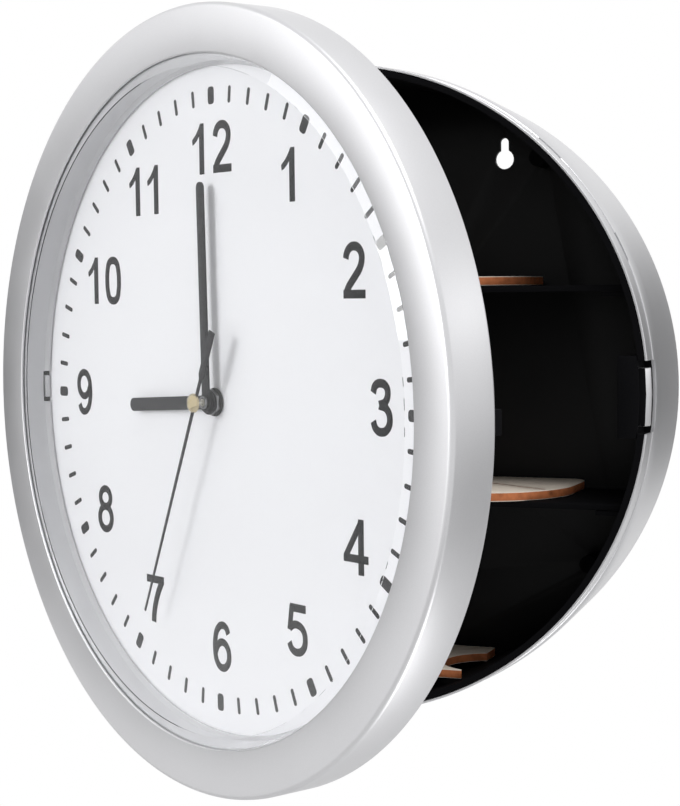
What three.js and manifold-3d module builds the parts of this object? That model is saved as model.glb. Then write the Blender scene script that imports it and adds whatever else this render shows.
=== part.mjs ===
import * as THREE from "three";
import { mergeVertices } from "three/addons/utils/BufferGeometryUtils.js";
import Module from "manifold-3d";

// A wall clock whose face is the door of a shallow round safe.
// Millimetres, +Z up. The case's flat back lies in the plane y = 0 with its middle at the origin,
// and the clock faces -Y. The door's pieces are placed from the middle of the dial's front face,
// where y grows towards the wall, and the whole door then turns on its hinge at the left.

// Clearances and counts
const gap = 0.3; // between two pieces that touch
const overrun = 1; // by which a cutter passes through what it cuts
const ringSides = 72;
const smallSides = 20;
const pinSides = 12;
const roundSteps = 4; // straight pieces in a small rounded edge
const cornerSteps = 8; // straight pieces in a board's rounded corner

// Front ring of the door, and what it holds
const bezel = {
  radius: 157.5,
  depth: 20,
  behindDial: 6,
  wall: 2.5,
  frontWidth: 19.5,
  lipThickness: 0.9,
  lipRound: 0.5,
  edgeRound: 2,
  rearChamfer: 1,
  bossRadius: 3.8,
};
const lens = { thickness: 0.7, bite: 1.6, rise: 1.2, bevelWidth: 4.4, bevelShift: 0.2 };
const recess = {
  behindLip: 0.6,
  slope: 3,
  wall: 1.6,
  flangeWidth: 7,
  flangeThickness: 1.2,
  windowHeight: 14,
  windowDepth: 3.1,
  windowRise: 2,
};
const dialPlate = { heldEdge: 2, thickness: 1 };
const dialClip = { height: 10, thickness: 2.1, depth: 2.4 };
const backing = { thickness: 1.9 };
const doorScrew = {
  count: 4,
  inset: 7.5,
  firstAngle: 45,
  shankRadius: 1.3,
  shankLength: 8,
  headRadius: 2.9,
  headHeight: 1.6,
};
const strike = {
  height: 9,
  footThickness: 5.6,
  length: 8,
  prongThickness: 1.8,
  prongClearance: 0.4,
};

// Round case behind the door
const shell = {
  behindRing: 14.5,
  depth: 72,
  collarDepth: 11,
  grooveWidth: 0.8,
  grooveDepth: 0.5,
  shoulder: 1,
  shoulderDepth: 9,
  taper: 1.4,
  wall: 1,
  edgeRound: 0.9,
};
const slit = { angles: [43.6, 64.6, 295.4, 316.4], length: 13, width: 1.8, depth: 0.8 };
const liner = {
  wall: 2.5,
  straightDepth: 24,
  ribThickness: 1.9,
  ribWidth: 12,
  bossRadius: 4,
  bossLength: 12,
  screwHoleDepth: 10,
};
const backPlate = { thickness: 2.5 };
const keyhole = {
  sideInset: 81.5,
  topInset: 39.1,
  roundRadius: 4.5,
  slotRadius: 2.1,
  slotReach: 7.7,
};
const backScrew = {
  count: 4,
  inset: 12,
  firstAngle: 38,
  shankRadius: 1.3,
  shankLength: 9,
  headRadius: 2.8,
  headHeight: 1.1,
  sunk: 0.2,
};
const shelf = { thickness: 2.6, frontInset: 10, upperTop: 45.4, lowerTop: -47.2 };
const board = {
  thickness: 4,
  frontInset: 0.9,
  backInset: 1.2,
  sideInset: 45,
  frontCornerRadius: 40,
  backCornerRadius: 8,
  upperShift: -16,
  lowerShift: 2.8,
};
const bottomBoard = {
  lift: 16.5,
  frontInset: 10.5,
  backInset: 6,
  notchRadius: 20,
  notchInset: 20.5,
  notchOutset: 6.3,
};

// Hinge at nine o'clock
const hinge = {
  standOff: 3,
  reach: 9,
  knuckleRadius: 4,
  pinRadius: 1.25,
  pinHeadRadius: 2.3,
  pinHeadHeight: 1,
  doorKnuckleLength: 19.4,
  armLength: 12,
  baseHeight: 50,
  baseDepth: 6.4,
  baseInset: 0.9,
  baseStandOut: 2.2,
  footWidth: 6.6,
  reliefHeight: 80,
  reliefDepth: 11.8,
  screwSpacing: 33,
};
const openAngle = 30; // how far the door stands open, in degrees

// Catch at three o'clock
const catchNotch = { rise: -1.2, height: 30.4, depth: 12.6 };
const latchTab = {
  height: 24,
  inset: 1.6,
  depth: 7.6,
  crest: 0.2,
  crestBack: 3,
  frontStepDown: 1.6,
  rearStepDown: 0.6,
  width: 8.4,
};
const latchGuide = { wall: 2.4, floor: 1.6, frontInset: 0.2, depth: 12.4, travel: 2.5 };

// Quartz movement on the back of the door
const movement = { side: 56, depth: 16, wall: 1.4, floor: 1.2, coverThickness: 1.5, bayHeight: 15.6 };
const battery = { radius: 7.25, length: 50.5, nubRadius: 2.7, nubLength: 1.2 };
const contact = { thickness: 0.6, height: 9, depth: 8, springRadius: 3 };
const bushing = { radius: 4, bore: 2.9, frontReach: 2.6 };
const washer = { radius: 5.8, thickness: 0.7 };
const nut = { radius: 5.3, thickness: 1.3, sides: 6 };
const hourTube = { radius: 2.6, bore: 1.85, frontReach: 4.1, rearDepth: 8 };
const minuteTube = { radius: 1.55, bore: 0.85, frontReach: 6.7, rearDepth: 12.8 };
const minuteNut = { radius: 2.5, thickness: 1.3 };
const secondShaft = { radius: 0.5, frontReach: 10.4, rearDepth: 17.2 };
const arborRadius = 0.5;

// Wheels: the depth is that of the wheel's front face behind the dial's front face
const wheelThickness = 0.9;
const pinionThickness = 1.5;
const toothTipShare = 0.6; // of the module, beyond the pitch circle
const toothRootShare = 1; // of the module, inside the pitch circle
const hourMesh = { distance: 11, pinionTeeth: 10, wheelTeeth: 40, depth: 6.2 };
const motionMesh = { distance: 11, pinionTeeth: 10, wheelTeeth: 30, depth: 9 };
const centreMesh = { distance: 10.1, pinionTeeth: 8, wheelTeeth: 64, depth: 11.3 };
const thirdMesh = { distance: 10.1, pinionTeeth: 8, wheelTeeth: 60, depth: 13.4 };
const secondMesh = { distance: 9.9, pinionTeeth: 10, wheelTeeth: 60, depth: 15.4 };
const rotorMesh = { distance: 8.4, pinionTeeth: 8, wheelTeeth: 40, depth: 16.5 };
const motionAngle = 90; // clock angles from the centre to each arbor, in degrees
const thirdAngle = 300;
const stepAngle = 30;
const rotorAngle = 60; // from the stepping arbor to the rotor
const knob = { radius: 5, thickness: 2.6, shaftRadius: 0.9 };
const rotor = { magnetRadius: 2.2, magnetLength: 3.2, magnetDepth: 8.6 };
const stator = { thickness: 1, width: 4, ringRadius: 4, ringClearance: 0.6, depth: 9.7, rise: 20 };
const coil = { radius: 4.5, length: 18, centre: -10.5 };
const circuit = { width: 22, height: 10, thickness: 0.8, depth: 15.3, centre: -12, rise: 20.5 };

// Hands
const handThickness = 0.8;
const hourHand = { length: 59.4, width: 5.6, depth: -3.9, angle: 266.8, hubRadius: 5 };
const minuteHand = { length: 88.4, width: 4.7, depth: -5.1, angle: 358.7, hubRadius: 4 };
const secondHand = {
  length: 97.9,
  rootWidth: 1.7,
  tipWidth: 1,
  thickness: 0.5,
  depth: -10.4,
  angle: 204.3,
  hubRadius: 2.4,
  tailLength: 31.5,
  tailStart: 10.4,
  tailWidth: 3.9,
};
const handCap = { radius: 3.9, height: 1.3, rim: 0.2 };

// Depths behind the dial's front face
const faceFront = bezel.behindDial - bezel.depth;
const lipBack = faceFront + bezel.lipThickness;
const lensFront = lipBack + gap;
const lensBack = lensFront + lens.thickness;
const recessFront = lensBack + gap;
const backingFront = dialPlate.thickness + gap;
const backingBack = backingFront + backing.thickness;
const rimBehindDial = backingBack + gap;
const movementFront = backingBack + gap;
const movementFloor = movementFront + movement.floor;
const movementBack = movementFront + movement.depth;
const coverFront = movementBack - movement.coverThickness;
const lipRadius = bezel.radius - bezel.frontWidth;
const lensRadius = lipRadius + lens.bite;
const skirtRadius = bezel.radius - bezel.wall;
const recessRadius = lipRadius - recess.behindLip;
const recessRearRadius = recessRadius - recess.slope;
const dialRadius = recessRearRadius + dialPlate.heldEdge;
const doorScrewCircle = bezel.radius - doorScrew.inset;

// Places in the case
const rimY = -shell.depth;
const shoulderY = rimY + shell.collarDepth;
const straightY = rimY + liner.straightDepth;
const rimRadius = bezel.radius - shell.behindRing;
const backRadius = rimRadius - shell.taper;
const shellBore = rimRadius - shell.wall;
const shellBackBore = backRadius - shell.wall;
const backScrewCircle = rimRadius - backScrew.inset;
const bottomRise = bottomBoard.lift - rimRadius;
const keyholeRise = rimRadius - keyhole.topInset;
const linerRadius = shellBore - gap;
const linerBackRadius = shellBackBore - gap;
const linerBore = linerRadius - liner.wall;
const linerBack = -(backPlate.thickness + gap);
const dialY = rimY - rimBehindDial;
const pivotX = -(rimRadius + hinge.standOff);
const pivotY = rimY - hinge.reach;
const pivotDepth = pivotY - dialY; // in the door's own depths

// Palette
const finishes = {
  silver: { color: 0xc4c5c8, roughness: 0.38, metalness: 0.55 },
  blackPlastic: { color: 0x0e0e10, roughness: 0.55, metalness: 0 },
  greyGloss: { color: 0xb9b9bd, roughness: 0.2, metalness: 0.05 },
  clear: { color: 0xf4f7f8, roughness: 0.03, metalness: 0, transparent: true, opacity: 0.2 },
  whiteDial: { color: 0xf4f4f7, roughness: 0.5, metalness: 0 },
  blackPaint: { color: 0x2c2c2f, roughness: 0.6, metalness: 0 },
  steel: { color: 0x9a9a9c, roughness: 0.3, metalness: 0.9 },
  brass: { color: 0xb8a878, roughness: 0.25, metalness: 0.9 },
  copper: { color: 0x9c5a35, roughness: 0.35, metalness: 0.8 },
  birch: { color: 0xd9c3a8, roughness: 0.65, metalness: 0 },
  circuitGreen: { color: 0x1f5a38, roughness: 0.45, metalness: 0 },
  batterySleeve: { color: 0x6d7076, roughness: 0.3, metalness: 0.3 },
  gearWhite: { color: 0xe6e3da, roughness: 0.45, metalness: 0 },
  rubber: { color: 0x18181a, roughness: 0.8, metalness: 0 },
};

const wasm = await Module();
wasm.setup();

// Solids

function solidOf(geometry) {
  const bare = geometry.clone();
  bare.deleteAttribute("normal");
  bare.deleteAttribute("uv");
  const merged = mergeVertices(bare);
  return new wasm.Manifold(
    new wasm.Mesh({
      numProp: 3,
      vertProperties: merged.attributes.position.array,
      triVerts: new Uint32Array(merged.index.array),
    }),
  );
}

function geometryOf(solid) {
  const mesh = solid.getMesh();
  const geometry = new THREE.BufferGeometry();
  geometry.setAttribute("position", new THREE.BufferAttribute(mesh.vertProperties, mesh.numProp));
  geometry.setIndex(new THREE.BufferAttribute(mesh.triVerts, 1));
  return geometry;
}

function cut(geometry, cutters) {
  return geometryOf(cutters.reduce((solid, c) => solid.subtract(solidOf(c)), solidOf(geometry)));
}

function join(geometries) {
  return geometryOf(geometries.map(solidOf).reduce((all, solid) => all.add(solid)));
}

function common(geometry, other) {
  return geometryOf(solidOf(geometry).intersect(solidOf(other)));
}

// A body turned about the front-to-back axis from [radius, depth] points. The profile closes on
// itself, or starts and ends on the axis.
function turned(profile, sides = ringSides) {
  const points = profile.map(([r, y]) => new THREE.Vector2(r, y));
  if (THREE.ShapeUtils.area(points) < 0) points.reverse();
  const onAxis = points.some((p) => p.x === 0);
  if (onAxis) {
    while (points[0].x !== 0 || points[points.length - 1].x !== 0) points.push(points.shift());
  } else {
    points.push(points[0].clone());
  }
  return new THREE.LatheGeometry(points, sides);
}

function disc(radius, from, to, sides = ringSides) {
  return turned([[0, from], [radius, from], [radius, to], [0, to]], sides);
}

function tube(bore, radius, from, to, sides = ringSides) {
  return turned([[bore, from], [radius, from], [radius, to], [bore, to]], sides);
}

// A straight round bar along one axis, from one end to the other.
function bar(axis, radius, from, to, x, y, z, sides = smallSides) {
  const geometry = new THREE.CylinderGeometry(radius, radius, to - from, sides);
  const middle = (from + to) / 2;
  if (axis === "x") return geometry.rotateZ(Math.PI / 2).translate(middle, y, z);
  if (axis === "y") return geometry.translate(x, middle, z);
  return geometry.rotateX(Math.PI / 2).translate(x, y, middle);
}

function block(x, y, z) {
  const geometry = new THREE.BoxGeometry(x[1] - x[0], y[1] - y[0], z[1] - z[0]);
  return geometry.translate((x[0] + x[1]) / 2, (y[0] + y[1]) / 2, (z[0] + z[1]) / 2);
}

// An upright outline in x and z, with its thickness along y.
function upright(shape, from, to, steps = roundSteps) {
  const settings = { depth: to - from, bevelEnabled: false, curveSegments: steps };
  return new THREE.ExtrudeGeometry(shape, settings).rotateX(Math.PI / 2).translate(0, to, 0);
}

// A level outline in x and y, with its thickness along z.
function level(shape, from, to, steps = roundSteps) {
  const settings = { depth: to - from, bevelEnabled: false, curveSegments: steps };
  return new THREE.ExtrudeGeometry(shape, settings).translate(0, 0, from);
}

const radians = THREE.MathUtils.degToRad;

// The place at a clock angle: 0 is twelve o'clock, and angles grow clockwise seen from the front.
function onClock(radius, angle) {
  return { x: radius * Math.sin(radians(angle)), z: radius * Math.cos(radians(angle)) };
}

// Points of a quarter round, from one angle to another about its centre.
function arc(r, y, radius, from, to, steps = roundSteps) {
  return Array.from({ length: steps + 1 }, (_, i) => {
    const a = radians(from + ((to - from) * i) / steps);
    return [r + radius * Math.cos(a), y + radius * Math.sin(a)];
  });
}

// A screw whose head's outside lies at one depth and whose tip points the other way: `towards` is
// 1 where the tip has the greater depth and -1 where it has the lesser.
function panScrew(x, z, headOutside, s, towards) {
  const neck = headOutside + towards * s.headHeight;
  const tip = neck + towards * s.shankLength;
  const profile = [
    [0, headOutside],
    [s.headRadius, headOutside],
    [s.headRadius, neck],
    [s.shankRadius, neck],
    [s.shankRadius, tip],
    [0, tip],
  ];
  return turned(profile, pinSides).translate(x, 0, z);
}

// Case

// The silver wall. A groove behind the collar marks where the wall swells before it tapers back.
function caseShell() {
  const swell = rimRadius + shell.shoulder;
  const backCorner = backRadius - shell.edgeRound;
  const grooveRadius = rimRadius - shell.grooveDepth;
  const swollen = shoulderY + shell.shoulderDepth;
  const wall = turned([
    [shellBore, rimY],
    [rimRadius, rimY],
    [rimRadius, shoulderY - shell.grooveWidth],
    [grooveRadius, shoulderY - shell.grooveWidth],
    [grooveRadius, shoulderY],
    ...swellProfile(rimRadius, shoulderY, swell, swollen),
    ...arc(backCorner, -shell.edgeRound, shell.edgeRound, 0, 90),
    [shellBackBore, 0],
    [shellBore, straightY],
  ]);
  return cut(wall, [catchCutter(), ...hingeScrewHoles(), ...slit.angles.map(slitCutter)]);
}

// The curve by which the wall swells from one radius and depth to another.
function swellProfile(r, y, toR, toY) {
  return Array.from({ length: roundSteps + 1 }, (_, i) => {
    const a = (Math.PI / 2) * (i / roundSteps);
    return [r + (toR - r) * Math.sin(a), y + (toY - y) * (1 - Math.cos(a))];
  });
}

// A narrow slit in the collar's groove.
function slitCutter(angle) {
  const half = slit.length / 2;
  const middle = shoulderY - shell.grooveWidth / 2;
  const cutter = block(
    [-half, half],
    [middle - slit.width / 2, middle + slit.width / 2],
    [rimRadius - slit.depth, rimRadius + shell.shoulder + overrun],
  );
  return cutter.rotateY(radians(angle));
}

function catchCutter() {
  const half = catchNotch.height / 2;
  return block(
    [linerBore - overrun, rimRadius + shell.shoulder + overrun],
    [rimY - overrun, rimY + catchNotch.depth],
    [catchNotch.rise - half, catchNotch.rise + half],
  );
}

function hingeScrewHoles() {
  const y = rimY + hinge.baseInset + hinge.baseDepth / 2;
  const end = backScrew.headRadius - linerBore;
  return [-1, 1].map((side) =>
    bar("x", backScrew.shankRadius + gap, pivotX, end, 0, y, (side * hinge.screwSpacing) / 2, pinSides),
  );
}

// The black wall inside the case, with the ribs that carry the shelves and the bosses for the
// back plate's screws.
function caseLiner() {
  const wall = turned([
    [linerBore, rimY],
    [linerRadius, rimY],
    [linerRadius, straightY],
    [linerBackRadius, linerBack],
    [linerBore, linerBack],
  ]);
  const inner = disc(linerBore + overrun / 2, rimY, linerBack);
  const bosses = backScrewPlaces().map(({ x, z }) =>
    common(bar("y", liner.bossRadius, linerBack - liner.bossLength, linerBack, x, 0, z), inner),
  );
  const webs = backScrewAngles().map((angle) => bossWeb(angle, inner));
  const hole = [linerBack - liner.screwHoleDepth, linerBack + overrun];
  const holes = backScrewPlaces().map(({ x, z }) =>
    bar("y", backScrew.shankRadius + gap, hole[0], hole[1], x, 0, z, pinSides),
  );
  const solid = join([wall, ...shelfRibs(inner), ...bosses, ...webs]);
  return cut(solid, [catchCutter(), ...hingeScrewHoles(), ...holes]);
}

function shelfRibs(inner) {
  const from = rimY + shelf.frontInset + gap;
  return [shelf.upperTop, shelf.lowerTop].flatMap((top) => {
    const under = top - shelf.thickness - gap;
    const reach = Math.sqrt(linerBore ** 2 - under ** 2);
    return [-1, 1].map((side) => {
      const x = [side * (reach - liner.ribWidth), side * linerRadius].sort((a, b) => a - b);
      return common(block(x, [from, linerBack], [under - liner.ribThickness, under]), inner);
    });
  });
}

// A web that ties a screw boss to the liner's wall.
function bossWeb(angle, inner) {
  const half = liner.bossRadius / 2;
  const web = block(
    [-half, half],
    [linerBack - liner.bossLength, linerBack],
    [backScrewCircle, linerRadius],
  );
  return common(web.rotateY(radians(angle)), inner);
}

function backScrewAngles() {
  const step = 360 / backScrew.count;
  return Array.from({ length: backScrew.count }, (_, i) => backScrew.firstAngle + i * step);
}

function backScrewPlaces() {
  return backScrewAngles().map((angle) => onClock(backScrewCircle, angle));
}

function keyholeShape(x) {
  const shape = new THREE.Shape();
  const neck = Math.asin(keyhole.slotRadius / keyhole.roundRadius);
  shape.absarc(x, keyholeRise, keyhole.roundRadius, Math.PI / 2 + neck, Math.PI / 2 - neck, false);
  shape.absarc(x, keyholeRise + keyhole.slotReach, keyhole.slotRadius, 0, Math.PI, false);
  return shape;
}

function backPlateBody() {
  const plate = disc(linerBackRadius, -backPlate.thickness, 0);
  const keyholes = [-1, 1].map((side) =>
    upright(keyholeShape(side * (rimRadius - keyhole.sideInset)), -backPlate.thickness - overrun, overrun, cornerSteps),
  );
  const pocket = backScrew.headHeight + backScrew.sunk + gap;
  const screwHoles = backScrewPlaces().flatMap(({ x, z }) => [
    bar("y", backScrew.shankRadius + gap, -backPlate.thickness - overrun, overrun, x, 0, z, pinSides),
    bar("y", backScrew.headRadius + gap, -pocket, overrun, x, 0, z, pinSides),
  ]);
  return cut(plate, [...keyholes, ...screwHoles]);
}

function backScrewBody({ x, z }) {
  return panScrew(x, z, -backScrew.sunk, backScrew, -1);
}

function shelfBody(top) {
  const edge = Math.max(Math.abs(top), Math.abs(top - shelf.thickness));
  const half = Math.sqrt(linerBore ** 2 - edge ** 2) - 2 * gap;
  return block(
    [-half, half],
    [rimY + shelf.frontInset, linerBack],
    [top - shelf.thickness, top],
  );
}

// A thin wooden board that lies on a shelf. Its front corners are rounder than its back ones.
function shelfBoard(top, shift) {
  const front = rimY + board.frontInset;
  const back = linerBack - board.backInset;
  const r = board.frontCornerRadius;
  const b = board.backCornerRadius;
  const w = rimRadius - board.sideInset;
  const shape = new THREE.Shape();
  shape.absarc(w - r, front + r, r, -Math.PI / 2, 0, false);
  shape.absarc(w - b, back - b, b, 0, Math.PI / 2, false);
  shape.absarc(b - w, back - b, b, Math.PI / 2, Math.PI, false);
  shape.absarc(r - w, front + r, r, Math.PI, 1.5 * Math.PI, false);
  return level(shape, top + gap, top + gap + board.thickness, cornerSteps).translate(shift, 0, 0);
}

// The board in the bottom of the case. A shallow round bite is cut out of each end.
function bottomBoardBody() {
  const half = Math.sqrt(linerBore ** 2 - bottomRise ** 2) - 2 * gap;
  const front = rimY + bottomBoard.frontInset;
  const back = linerBack - bottomBoard.backInset;
  const plate = block([-half, half], [front, back], [bottomRise, bottomRise + board.thickness]);
  const bites = [-1, 1].map((side) =>
    bar(
      "z",
      bottomBoard.notchRadius,
      bottomRise - overrun,
      bottomRise + board.thickness + overrun,
      side * (half + bottomBoard.notchOutset),
      front + bottomBoard.notchInset,
      0,
      2 * smallSides,
    ),
  );
  return cut(plate, bites);
}

// Hinge

function armShape() {
  const k = hinge.knuckleRadius;
  const inner = -(rimRadius + gap);
  const outer = inner - hinge.baseStandOut;
  const root = rimY + hinge.baseInset + hinge.baseDepth / 2;
  const shape = new THREE.Shape();
  shape.absarc(pivotX, pivotY, k, Math.PI, 2 * Math.PI, false);
  shape.lineTo(inner, root);
  shape.lineTo(outer, root);
  shape.lineTo(outer, rimY - gap);
  shape.closePath();
  return shape;
}

function hingeBracket() {
  const inner = rimRadius + gap;
  const half = hinge.baseHeight / 2;
  const y = [rimY + hinge.baseInset, rimY + hinge.baseInset + hinge.baseDepth];
  const base = cut(block([-(inner + hinge.baseStandOut), -(inner - hinge.armLength)], y, [-half, half]), [
    disc(inner, y[0] - overrun, y[1] + overrun),
  ]);
  const start = hinge.doorKnuckleLength / 2 + gap;
  const arms = [-1, 1].map((side) => {
    const z = [side * start, side * (start + hinge.armLength)].sort((a, b) => a - b);
    return level(armShape(), z[0], z[1], cornerSteps);
  });
  const reach = start + hinge.armLength + overrun;
  const bore = bar("z", hinge.pinRadius + gap, -reach, reach, pivotX, pivotY, 0);
  return cut(join([base, ...arms]), [bore, ...hingeScrewHoles()]);
}

function hingePin() {
  const top = hinge.doorKnuckleLength / 2 + gap + hinge.armLength;
  const profile = [
    [0, -top],
    [hinge.pinRadius, -top],
    [hinge.pinRadius, top + gap],
    [hinge.pinHeadRadius, top + gap],
    [hinge.pinHeadRadius, top + gap + hinge.pinHeadHeight],
    [0, top + gap + hinge.pinHeadHeight],
  ];
  return turned(profile, pinSides).rotateX(Math.PI / 2).translate(pivotX, pivotY, 0);
}

function hingeScrew(side) {
  const headInside = -(linerBore - gap - backScrew.headHeight);
  const y = rimY + hinge.baseInset + hinge.baseDepth / 2;
  const tip = -(rimRadius + gap + hinge.baseStandOut - gap);
  const z = (side * hinge.screwSpacing) / 2;
  const slack = linerBore - Math.sqrt(linerBore ** 2 - (Math.abs(z) + backScrew.headRadius) ** 2);
  const head = [headInside + slack - backScrew.headHeight, headInside + slack];
  return join([
    bar("x", backScrew.headRadius, head[0], head[1], 0, y, z, pinSides),
    bar("x", backScrew.shankRadius, tip, head[0] + gap, 0, y, z, pinSides),
  ]);
}

// Catch

// The springy strip in the collar's notch. A crest runs along it near its front.
function latchTabBody() {
  const t = latchTab;
  const front = rimY + t.inset;
  const back = front + t.depth;
  const strip = turned([
    [rimRadius - t.width, front],
    [rimRadius - t.frontStepDown, front],
    [rimRadius + t.crest, front + t.crestBack],
    [rimRadius - t.rearStepDown, back],
    [rimRadius - t.width, back],
  ]);
  const x = [rimRadius - 2 * t.width, rimRadius + t.crest + overrun];
  return common(strip, block(x, [front, back], heightSpan(t.height)));
}

// The pocket inside the case that the latch strip slides in. Its floor clears the strip's ends,
// which lie further in than the middle of its curve.
function latchGuideBody() {
  const g = latchGuide;
  const t = latchTab;
  const height = t.height + 2 * gap;
  const y = [rimY + g.frontInset, rimY + g.frontInset + g.depth];
  const end = Math.abs(catchNotch.rise) + t.height / 2;
  const floor = Math.sqrt((rimRadius - t.width) ** 2 - end ** 2) - g.travel - gap;
  const outside = block([floor - g.floor, linerRadius], y, heightSpan(height + 4 * g.wall));
  const pocket = block(
    [floor, linerRadius],
    [rimY + t.inset - gap, rimY + t.inset + t.depth + gap],
    heightSpan(height),
  );
  return cut(common(outside, disc(linerBore - gap, y[0], y[1])), [pocket]);
}

// A height's span about the middle of the catch.
function heightSpan(height) {
  return [catchNotch.rise - height / 2, catchNotch.rise + height / 2];
}

// The door's hook for the latch tab. It stands on the back of the door's backing plate.
function strikeLug() {
  const outer = skirtRadius - gap;
  const front = rimBehindDial;
  const rear = front + strike.length;
  const tip = rimRadius + latchTab.crest + strike.prongClearance;
  const z = heightSpan(strike.height);
  const foot = block([outer - strike.footThickness, outer + overrun], [front, rear], z);
  const prong = block([tip, outer], [rear - strike.prongThickness, rear], z);
  return common(join([foot, prong]), disc(outer, front - overrun, rear + overrun));
}

// Front ring, lens and dial

function bezelProfile() {
  const front = faceFront;
  return [
    [lipRadius, lipBack],
    [lipRadius, front + bezel.lipRound],
    [lipRadius + bezel.lipRound, front],
    ...arc(bezel.radius - bezel.edgeRound, front + bezel.edgeRound, bezel.edgeRound, -90, 0),
    [bezel.radius, bezel.behindDial - bezel.rearChamfer],
    [bezel.radius - bezel.rearChamfer, bezel.behindDial],
    [skirtRadius, bezel.behindDial],
    [skirtRadius, lensBack],
    [lensRadius + gap, lensBack],
    [lensRadius + gap, lipBack],
  ];
}

function hingeRelief(from) {
  const half = hinge.reliefHeight / 2;
  return block(
    [-(bezel.radius + overrun), pivotX - hinge.footWidth / 4],
    [from, bezel.behindDial + overrun],
    [-half, half],
  );
}

function doorScrewPlaces() {
  return Array.from({ length: doorScrew.count }, (_, i) =>
    onClock(doorScrewCircle, doorScrew.firstAngle + (i * 360) / doorScrew.count),
  );
}

function bezelRing() {
  const ring = turned(bezelProfile());
  const bosses = doorScrewPlaces().map(({ x, z }) =>
    bar("y", bezel.bossRadius, lensBack - overrun, backingFront - gap, x, 0, z),
  );
  const holes = doorScrewPlaces().map(({ x, z }) =>
    bar("y", doorScrew.shankRadius + gap, lensBack + gap, backingFront, x, 0, z, pinSides),
  );
  const relief = hingeRelief(bezel.behindDial - hinge.reliefDepth);
  return cut(join([ring, ...bosses]), [...holes, relief]);
}

// The clear lens. Its flat middle stands forward through the lip, with a bevel all round it.
function lensBody() {
  const outer = lipRadius - gap;
  const inner = outer - lens.bevelWidth;
  const shift = lens.bevelShift;
  return turned([
    [0, lensFront - lens.rise],
    [inner, lensFront - lens.rise],
    [outer, lensFront],
    [lensRadius, lensFront],
    [lensRadius, lensBack],
    [outer - shift, lensBack],
    [inner - shift, lensBack - lens.rise],
    [0, lensBack - lens.rise],
  ]);
}

// The sloping grey wall between the lens and the dial. A small window at nine o'clock shows the
// clip that holds the dial.
function recessRing() {
  const ring = turned([
    [recessRadius, recessFront],
    [recessRadius + recess.flangeWidth, recessFront],
    [recessRadius + recess.flangeWidth, recessFront + recess.flangeThickness],
    [recessRadius + recess.wall, recessFront + recess.flangeThickness],
    [recessRearRadius + recess.wall, -gap],
    [recessRearRadius, -gap],
  ]);
  const half = recess.windowHeight / 2;
  const window = block(
    [-(recessRadius + 2 * recess.wall), -(recessRearRadius - 2 * recess.wall)],
    [-gap - recess.windowDepth, overrun],
    [recess.windowRise - half, recess.windowRise + half],
  );
  return cut(ring, [window]);
}

function dialClipBody() {
  const half = dialClip.height / 2;
  const x = -(recessRearRadius + gap);
  return block(
    [x - dialClip.thickness + gap, x],
    [-gap - dialClip.depth, -gap],
    [recess.windowRise - half, recess.windowRise + half],
  );
}

function dialPlateBody() {
  return tube(bushing.radius + gap, dialRadius, 0, dialPlate.thickness);
}

// The black plate that closes the door from behind, with the door's half of the hinge.
function doorBacking() {
  const plate = tube(bushing.radius + gap, skirtRadius - gap, backingFront, backingBack);
  const screwHoles = doorScrewPlaces().map(({ x, z }) =>
    bar("y", doorScrew.shankRadius + gap, backingFront - overrun, backingBack + overrun, x, 0, z, pinSides),
  );
  const reach = hinge.doorKnuckleLength / 2 + 2 * gap + hinge.armLength;
  const slots = [-1, 1].map((side) => {
    const z = [(side * hinge.doorKnuckleLength) / 2, side * reach].sort((a, b) => a - b);
    const inner = -(rimRadius - overrun);
    return block([-bezel.radius, inner], [backingFront - overrun, backingBack + overrun], z);
  });
  const cutPlate = cut(plate, [...screwHoles, ...slots, hingeRelief(backingFront - overrun)]);
  const half = hinge.doorKnuckleLength / 2;
  const x = pivotX + hinge.footWidth;
  const foot = block([pivotX, x], [pivotDepth, backingBack - gap], [-half, half]);
  const knuckle = bar("z", hinge.knuckleRadius, -half, half, pivotX, pivotDepth, 0);
  const bore = bar("z", hinge.pinRadius + gap, -half - overrun, half + overrun, pivotX, pivotDepth, 0);
  return cut(join([cutPlate, foot, knuckle]), [bore]);
}

// Movement

const housingHalf = movement.side / 2;
const bayTop = -housingHalf + movement.wall + movement.bayHeight;

function movementHousing() {
  const half = housingHalf;
  const inner = half - movement.wall;
  const tray = block([-half, half], [movementFront, coverFront - gap], [-half, half]);
  const trainRoom = block([-inner, inner], [movementFloor, movementBack], [bayTop + movement.wall, inner]);
  const bay = block([-inner, inner], [movementFloor, movementBack], [-inner, bayTop]);
  const hole = bar("y", bushing.radius - gap, movementFront - overrun, movementFloor + overrun, 0, 0, 0);
  return cut(tray, [trainRoom, bay, hole]);
}

function movementCover() {
  const half = housingHalf;
  const plate = block([-half, half], [coverFront, movementBack], [bayTop, half]);
  const { x, z } = onClock(motionMesh.distance, motionAngle);
  const y = [coverFront - overrun, movementBack + overrun];
  return cut(plate, [bar("y", knob.shaftRadius + gap, y[0], y[1], x, 0, z, pinSides)]);
}

const batteryRise = -housingHalf + movement.wall + movement.bayHeight / 2;
const batteryDepth = movementFloor + gap + battery.radius;

function batteryBody() {
  const half = battery.length / 2;
  const profile = [
    [0, -half],
    [battery.radius, -half],
    [battery.radius, half - battery.nubLength],
    [battery.nubRadius, half - battery.nubLength],
    [battery.nubRadius, half],
    [0, half],
  ];
  return turned(profile, smallSides).rotateZ(-Math.PI / 2).translate(0, batteryDepth, batteryRise);
}

function contactBody(side) {
  const outer = housingHalf - movement.wall - gap;
  const x = [side * outer, side * (outer - contact.thickness)].sort((a, b) => a - b);
  const plate = block(
    x,
    [batteryDepth - contact.depth / 2, batteryDepth + contact.depth / 2],
    [batteryRise - contact.height / 2, batteryRise + contact.height / 2],
  );
  if (side > 0) return plate;
  const tip = -(battery.length / 2 + gap);
  return join([plate, bar("x", contact.springRadius, x[0], tip, 0, batteryDepth, batteryRise)]);
}

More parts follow.
